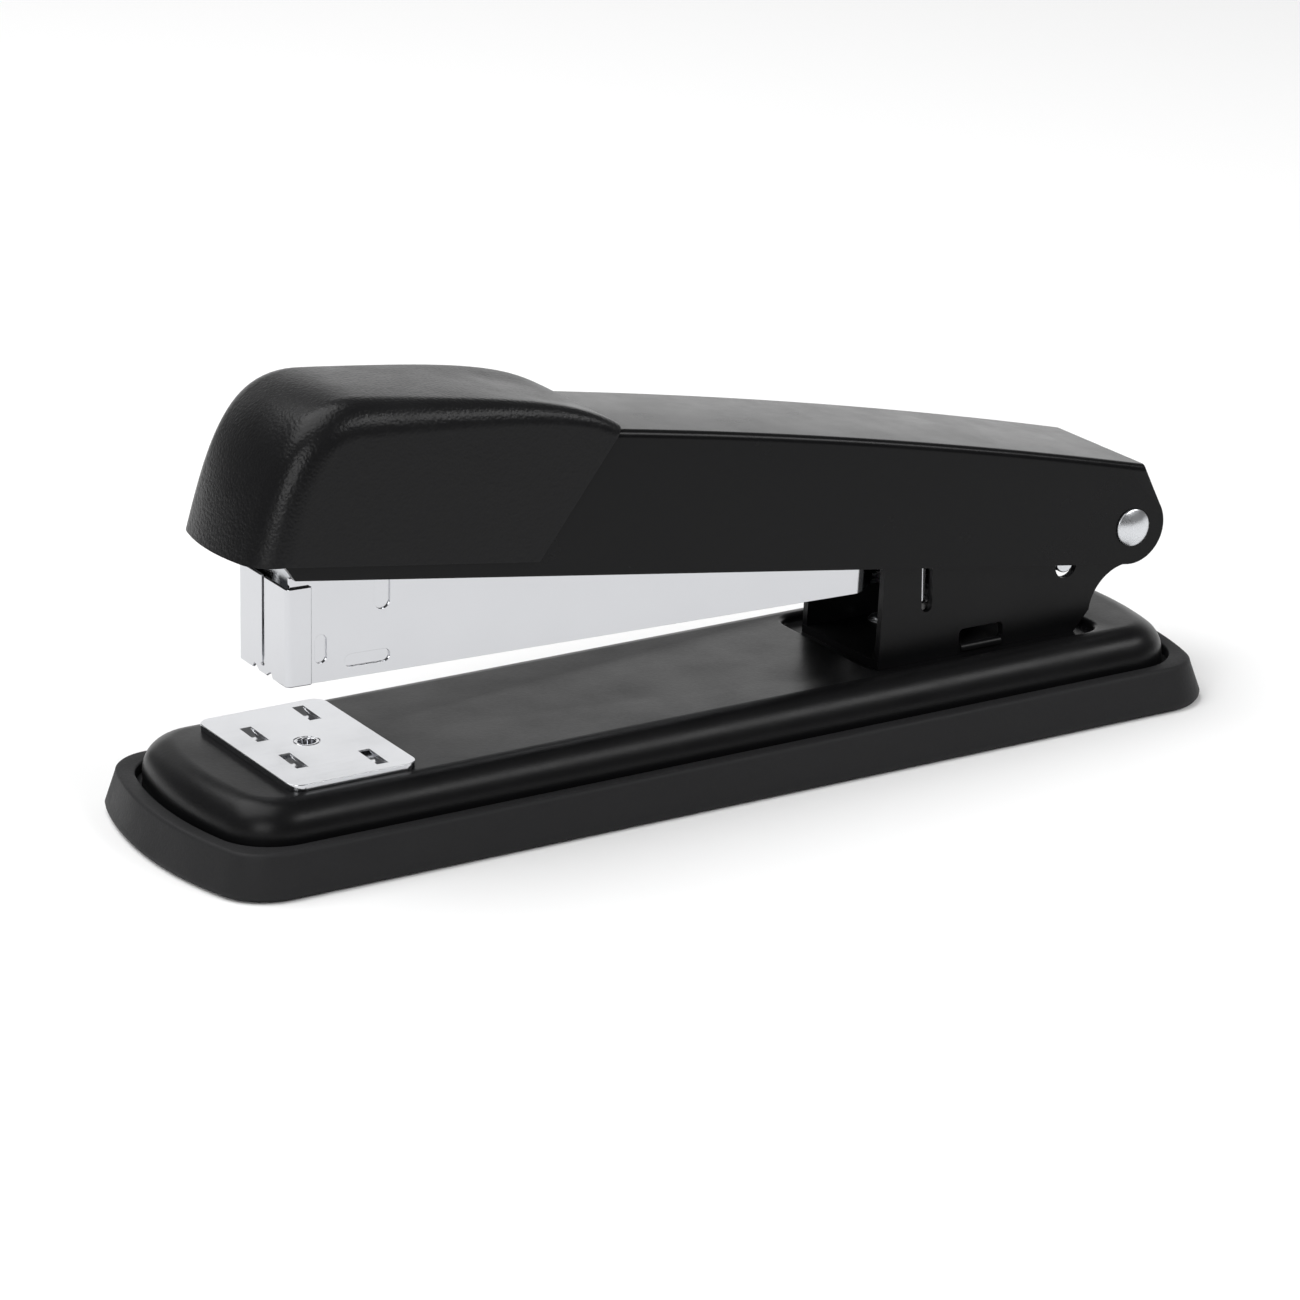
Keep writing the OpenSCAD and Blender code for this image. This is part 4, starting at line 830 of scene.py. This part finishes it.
def build_springs():
    s = settings("springs")
    joint = JOINTS["follower_slide"]
    along = Vector(joint["axis"]).normalized()
    rod_low, rod_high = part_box("follower_rod")
    saddle_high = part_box("follower")[1]
    plate_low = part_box("rear_bulkhead")[0]
    rod_r = MM
    tail = Vector((rod_high.x, 0, rod_low.z + rod_r))

    def on_rod(x):
        return tail + along * ((x - tail.x) / along.x)

    front, rear = on_rod(saddle_high.x + CLEARANCE), on_rod(plate_low.x - CLEARANCE)
    reach = (rear - front).length
    piece = coil("pusher_spring", "follower_spring", front, along, rod_r + s.rod_gap + s.wire_r,
                 s.wire_r, reach, s.turns)
    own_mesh(piece)
    low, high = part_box("anvil_spring")
    coil("anvil_coil", "anvil_spring", Vector(((low.x + high.x) / 2, 0, low.z)), Vector((0, 0, 1)),
         (high.y - low.y) / 2 - s.anvil_wire_r, s.anvil_wire_r, high.z - low.z, s.anvil_turns)


def rivet_places(node):
    """The middle and the half size of each separate solid of a CAD node."""
    piece = merged_copy(node, "probe")
    bm = bmesh.new()
    bm.from_mesh(piece.data)
    seen, found = set(), []
    for vert in bm.verts:
        if vert in seen:
            continue
        island, todo = [], [vert]
        seen.add(vert)
        while todo:
            v = todo.pop()
            island.append(v.co.copy())
            for edge in v.link_edges:
                other = edge.other_vert(v)
                if other not in seen:
                    seen.add(other)
                    todo.append(other)
        low = Vector([min(p[i] for p in island) for i in range(3)])
        high = Vector([max(p[i] for p in island) for i in range(3)])
        found.append(((low + high) / 2, (high - low) / 2))
    bm.free()
    bpy.data.objects.remove(piece)
    return found


# Node, the name of the piece, its head's and shank's radius, and its tilt in degrees
FIXINGS = (
    ("bracket_rivets", "bracket_fixings", 2.4 * MM, 1.5 * MM, 0),
    ("rail_rivets", "rail_fixings", 1 * MM, 1 * MM, 1.4),
    ("driver_rivets", "driver_fixings", 1.9 * MM, 1.2 * MM, 8.5),
)
FIXING_HEAD_H = 0.9 * MM
# Share of its CAD box's height that a fixing takes up
FIXING_SHARE = 0.98
FLUSH_CHAMFER = 0.1 * MM


def build_rivets():
    head_h = FIXING_HEAD_H
    for node, name, head_r, shank_r, tilt in FIXINGS:
        places = rivet_places(node)
        half = places[0][1].z * FIXING_SHARE
        if head_r > shank_r:
            crown = [(head_r * math.sin(a), half - head_h + head_h * math.cos(a)) for a in quarter_turn(6)]
            right = crown + [(shank_r, half - head_h)]
        else:
            right = [(0, half), (head_r - FLUSH_CHAMFER, half), (head_r, half - FLUSH_CHAMFER)]
        profile = right + [(r, -d) for r, d in reversed(right)]
        rivet = lathe("rivet", profile, (0, 0, 0), "Z", 32)
        rivet.data.transform(Matrix.Rotation(math.radians(tilt), 4, "Y"))
        smooth(rivet, 50)
        spots = bpy.data.meshes.new(name)
        spots.from_pydata([tuple(centre) for centre, _ in places], [], [])
        tree, ids = rivet_tree()
        piece = run_tree(name, spots, tree, ids, {"Rivet": rivet, "Material": material(SLOT_OF[node])})
        bpy.data.objects.remove(rivet)
        show(piece, node)


# Length of the return leaf from tip to heel
RETURN_LEAF_L = 12 * MM


def build_return_spring():
    """The return leaf from tip to heel and its hook on the pin, cut apart at the leaf's heel."""
    low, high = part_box("return_spring")
    sheet = merged_copy("return_spring", "return_leaf")
    soften(sheet, 0.1 * MM)
    heel_x = low.x + RETURN_LEAF_L
    hook = new_object("return_hook", sheet.data.copy())
    carve(sheet, block("tool", (heel_x, -0.05, 0), (0.1, 0.05, 0.1)))
    carve(hook, block("tool", (-0.1, -0.05, 0), (heel_x, 0.05, 0.1)))
    for piece in (sheet, hook):
        show(smooth(piece, 45), "return_spring")
    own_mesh(sheet)


# ---------------------------------------------------------------- stage

CAMERA_AT = Vector((-338.67, -568.22, 246.55)) * MM
CAMERA_TO = Vector((-3.36, 0, 16.31)) * MM
CAMERA_LENS = 131.64
FLOOR_REACH = 6.0
WORLD_STRENGTH = 0.15
# Name, place, aim and size in metres, and power in watts
LIGHTS = (
    ("overhead", (-0.35, 0.3, 1.0), (0, 0, 0), (1.2, 0.9), 12.5),
    ("backdrop", (1.0, 1.2, 0.3), (0, 0, 0.05), (3.2, 0.74), 8),
    ("edge", (0.55, -0.58, 0.75), (0, 0, 0.04), (0.9, 0.24), 4.6),
    ("left", (-0.8, -0.62, 0.4), (-0.07, 0, 0.05), (0.4, 0.45), 3),
)


def area_light(name, place, target, size, power):
    data = bpy.data.lights.new(name, "AREA")
    data.shape = "RECTANGLE"
    data.size, data.size_y = size
    data.energy = power
    lamp = bpy.data.objects.new(name, data)
    bpy.context.scene.collection.objects.link(lamp)
    lamp.location = place
    lamp.rotation_euler = (Vector(target) - Vector(place)).to_track_quat("-Z", "Y").to_euler()
    return lamp


def build_stage():
    scene = bpy.context.scene
    side = FLOOR_REACH
    floor = from_faces("floor", [(-side, -side, 0), (side, -side, 0), (side, side, 0), (-side, side, 0)],
                       [(0, 1, 2, 3)])
    paper = bpy.data.materials.new("white paper")
    paper.use_nodes = True
    shader = paper.node_tree.nodes["Principled BSDF"]
    shader.inputs["Base Color"].default_value = linear(settings("colours").floor)
    shader.inputs["Roughness"].default_value = 0.9
    shader.inputs["Specular IOR Level"].default_value = 0.1
    floor.data.materials.append(paper)
    world = bpy.data.worlds.new("studio")
    world.use_nodes = True
    sky = world.node_tree.nodes["Background"]
    sky.inputs["Color"].default_value = (1, 1, 1, 1)
    sky.inputs["Strength"].default_value = WORLD_STRENGTH
    scene.world = world
    for name, place, target, size, power in LIGHTS:
        area_light(name, place, target, size, power)
    scene.view_settings.view_transform = "Standard"
    data = bpy.data.cameras.new("camera")
    data.lens = CAMERA_LENS
    data.sensor_width = 36
    data.clip_start = 0.05
    data.clip_end = 20
    camera = bpy.data.objects.new("camera", data)
    scene.collection.objects.link(camera)
    camera.location = CAMERA_AT
    camera.rotation_euler = (CAMERA_TO - CAMERA_AT).to_track_quat("-Z", "Y").to_euler()
    scene.camera = camera


# ---------------------------------------------------------------- operators and panel


class STAPLER_OT_sole(bpy.types.Operator):
    """Moulded rubber sole"""

    bl_idname = "stapler.sole"
    bl_label = "Sole"

    def execute(self, context):
        build_sole()
        return {"FINISHED"}


class STAPLER_OT_base_plate(bpy.types.Operator):
    """Pressed steel base with its recess"""

    bl_idname = "stapler.base_plate"
    bl_label = "Steel base"

    def execute(self, context):
        build_base_plate()
        return {"FINISHED"}


class STAPLER_OT_pressed(bpy.types.Operator):
    """Sheet-metal and turned pieces with softened edges"""

    bl_idname = "stapler.pressed"
    bl_label = "Pressed and turned pieces"

    def execute(self, context):
        build_pressed()
        return {"FINISHED"}


class STAPLER_OT_pivot(bpy.types.Operator):
    """Domed pivot rivet"""

    bl_idname = "stapler.pivot"
    bl_label = "Pivot"

    def execute(self, context):
        build_pivot()
        return {"FINISHED"}


class STAPLER_OT_springs(bpy.types.Operator):
    """Coil springs of the pusher and the anvil"""

    bl_idname = "stapler.springs"
    bl_label = "Coil springs"

    def execute(self, context):
        build_springs()
        return {"FINISHED"}


class STAPLER_OT_rivets(bpy.types.Operator):
    """Rivets of the bracket, the rail and the driver"""

    bl_idname = "stapler.rivets"
    bl_label = "Rivets"

    def execute(self, context):
        build_rivets()
        return {"FINISHED"}


class STAPLER_OT_return_spring(bpy.types.Operator):
    """Return leaf and its hook"""

    bl_idname = "stapler.return_spring"
    bl_label = "Return spring"

    def execute(self, context):
        build_return_spring()
        return {"FINISHED"}


class STAPLER_OT_arm(bpy.types.Operator):
    """Enamelled steel arm"""

    bl_idname = "stapler.arm"
    bl_label = "Arm"

    def execute(self, context):
        build_arm()
        return {"FINISHED"}


class STAPLER_OT_cap(bpy.types.Operator):
    """Grained plastic cap"""

    bl_idname = "stapler.cap"
    bl_label = "Cap"

    def execute(self, context):
        build_cap()
        return {"FINISHED"}


class STAPLER_OT_stage(bpy.types.Operator):
    """Floor, lights and camera"""

    bl_idname = "stapler.stage"
    bl_label = "Stage"

    def execute(self, context):
        build_stage()
        return {"FINISHED"}


GROUPS = {
    "base": StaplerBaseSizes,
    "arm": StaplerArmSizes,
    "springs": StaplerSpringSizes,
    "colours": StaplerColours,
}
OPERATORS = (
    STAPLER_OT_sole,
    STAPLER_OT_base_plate,
    STAPLER_OT_pressed,
    STAPLER_OT_pivot,
    STAPLER_OT_springs,
    STAPLER_OT_rivets,
    STAPLER_OT_return_spring,
    STAPLER_OT_arm,
    STAPLER_OT_cap,
    STAPLER_OT_stage,
)


class STAPLER_PT_panel(bpy.types.Panel):
    """Sizes, colours and operators of the stapler"""

    bl_idname = "STAPLER_PT_panel"
    bl_label = "Desk stapler"
    bl_space_type = "VIEW_3D"
    bl_region_type = "UI"
    bl_category = "Stapler"

    def draw(self, context):
        for kind, group in GROUPS.items():
            box = self.layout.box()
            for name in group.__annotations__:
                box.prop(getattr(context.scene, "stapler_" + kind), name)
        for operator in OPERATORS:
            self.layout.operator(operator.bl_idname)


def register():
    for cls in (*GROUPS.values(), *OPERATORS, STAPLER_PT_panel):
        bpy.utils.register_class(cls)
    for kind, group in GROUPS.items():
        setattr(bpy.types.Scene, "stapler_" + kind, bpy.props.PointerProperty(type=group))


def unregister():
    for kind in GROUPS:
        delattr(bpy.types.Scene, "stapler_" + kind)
    for cls in (STAPLER_PT_panel, *reversed(OPERATORS), *reversed(GROUPS.values())):
        bpy.utils.unregister_class(cls)


def main():
    register()
    for operator in OPERATORS:
        group, name = operator.bl_idname.split(".")
        getattr(getattr(bpy.ops, group), name)()


if __name__ == "__main__":
    main()
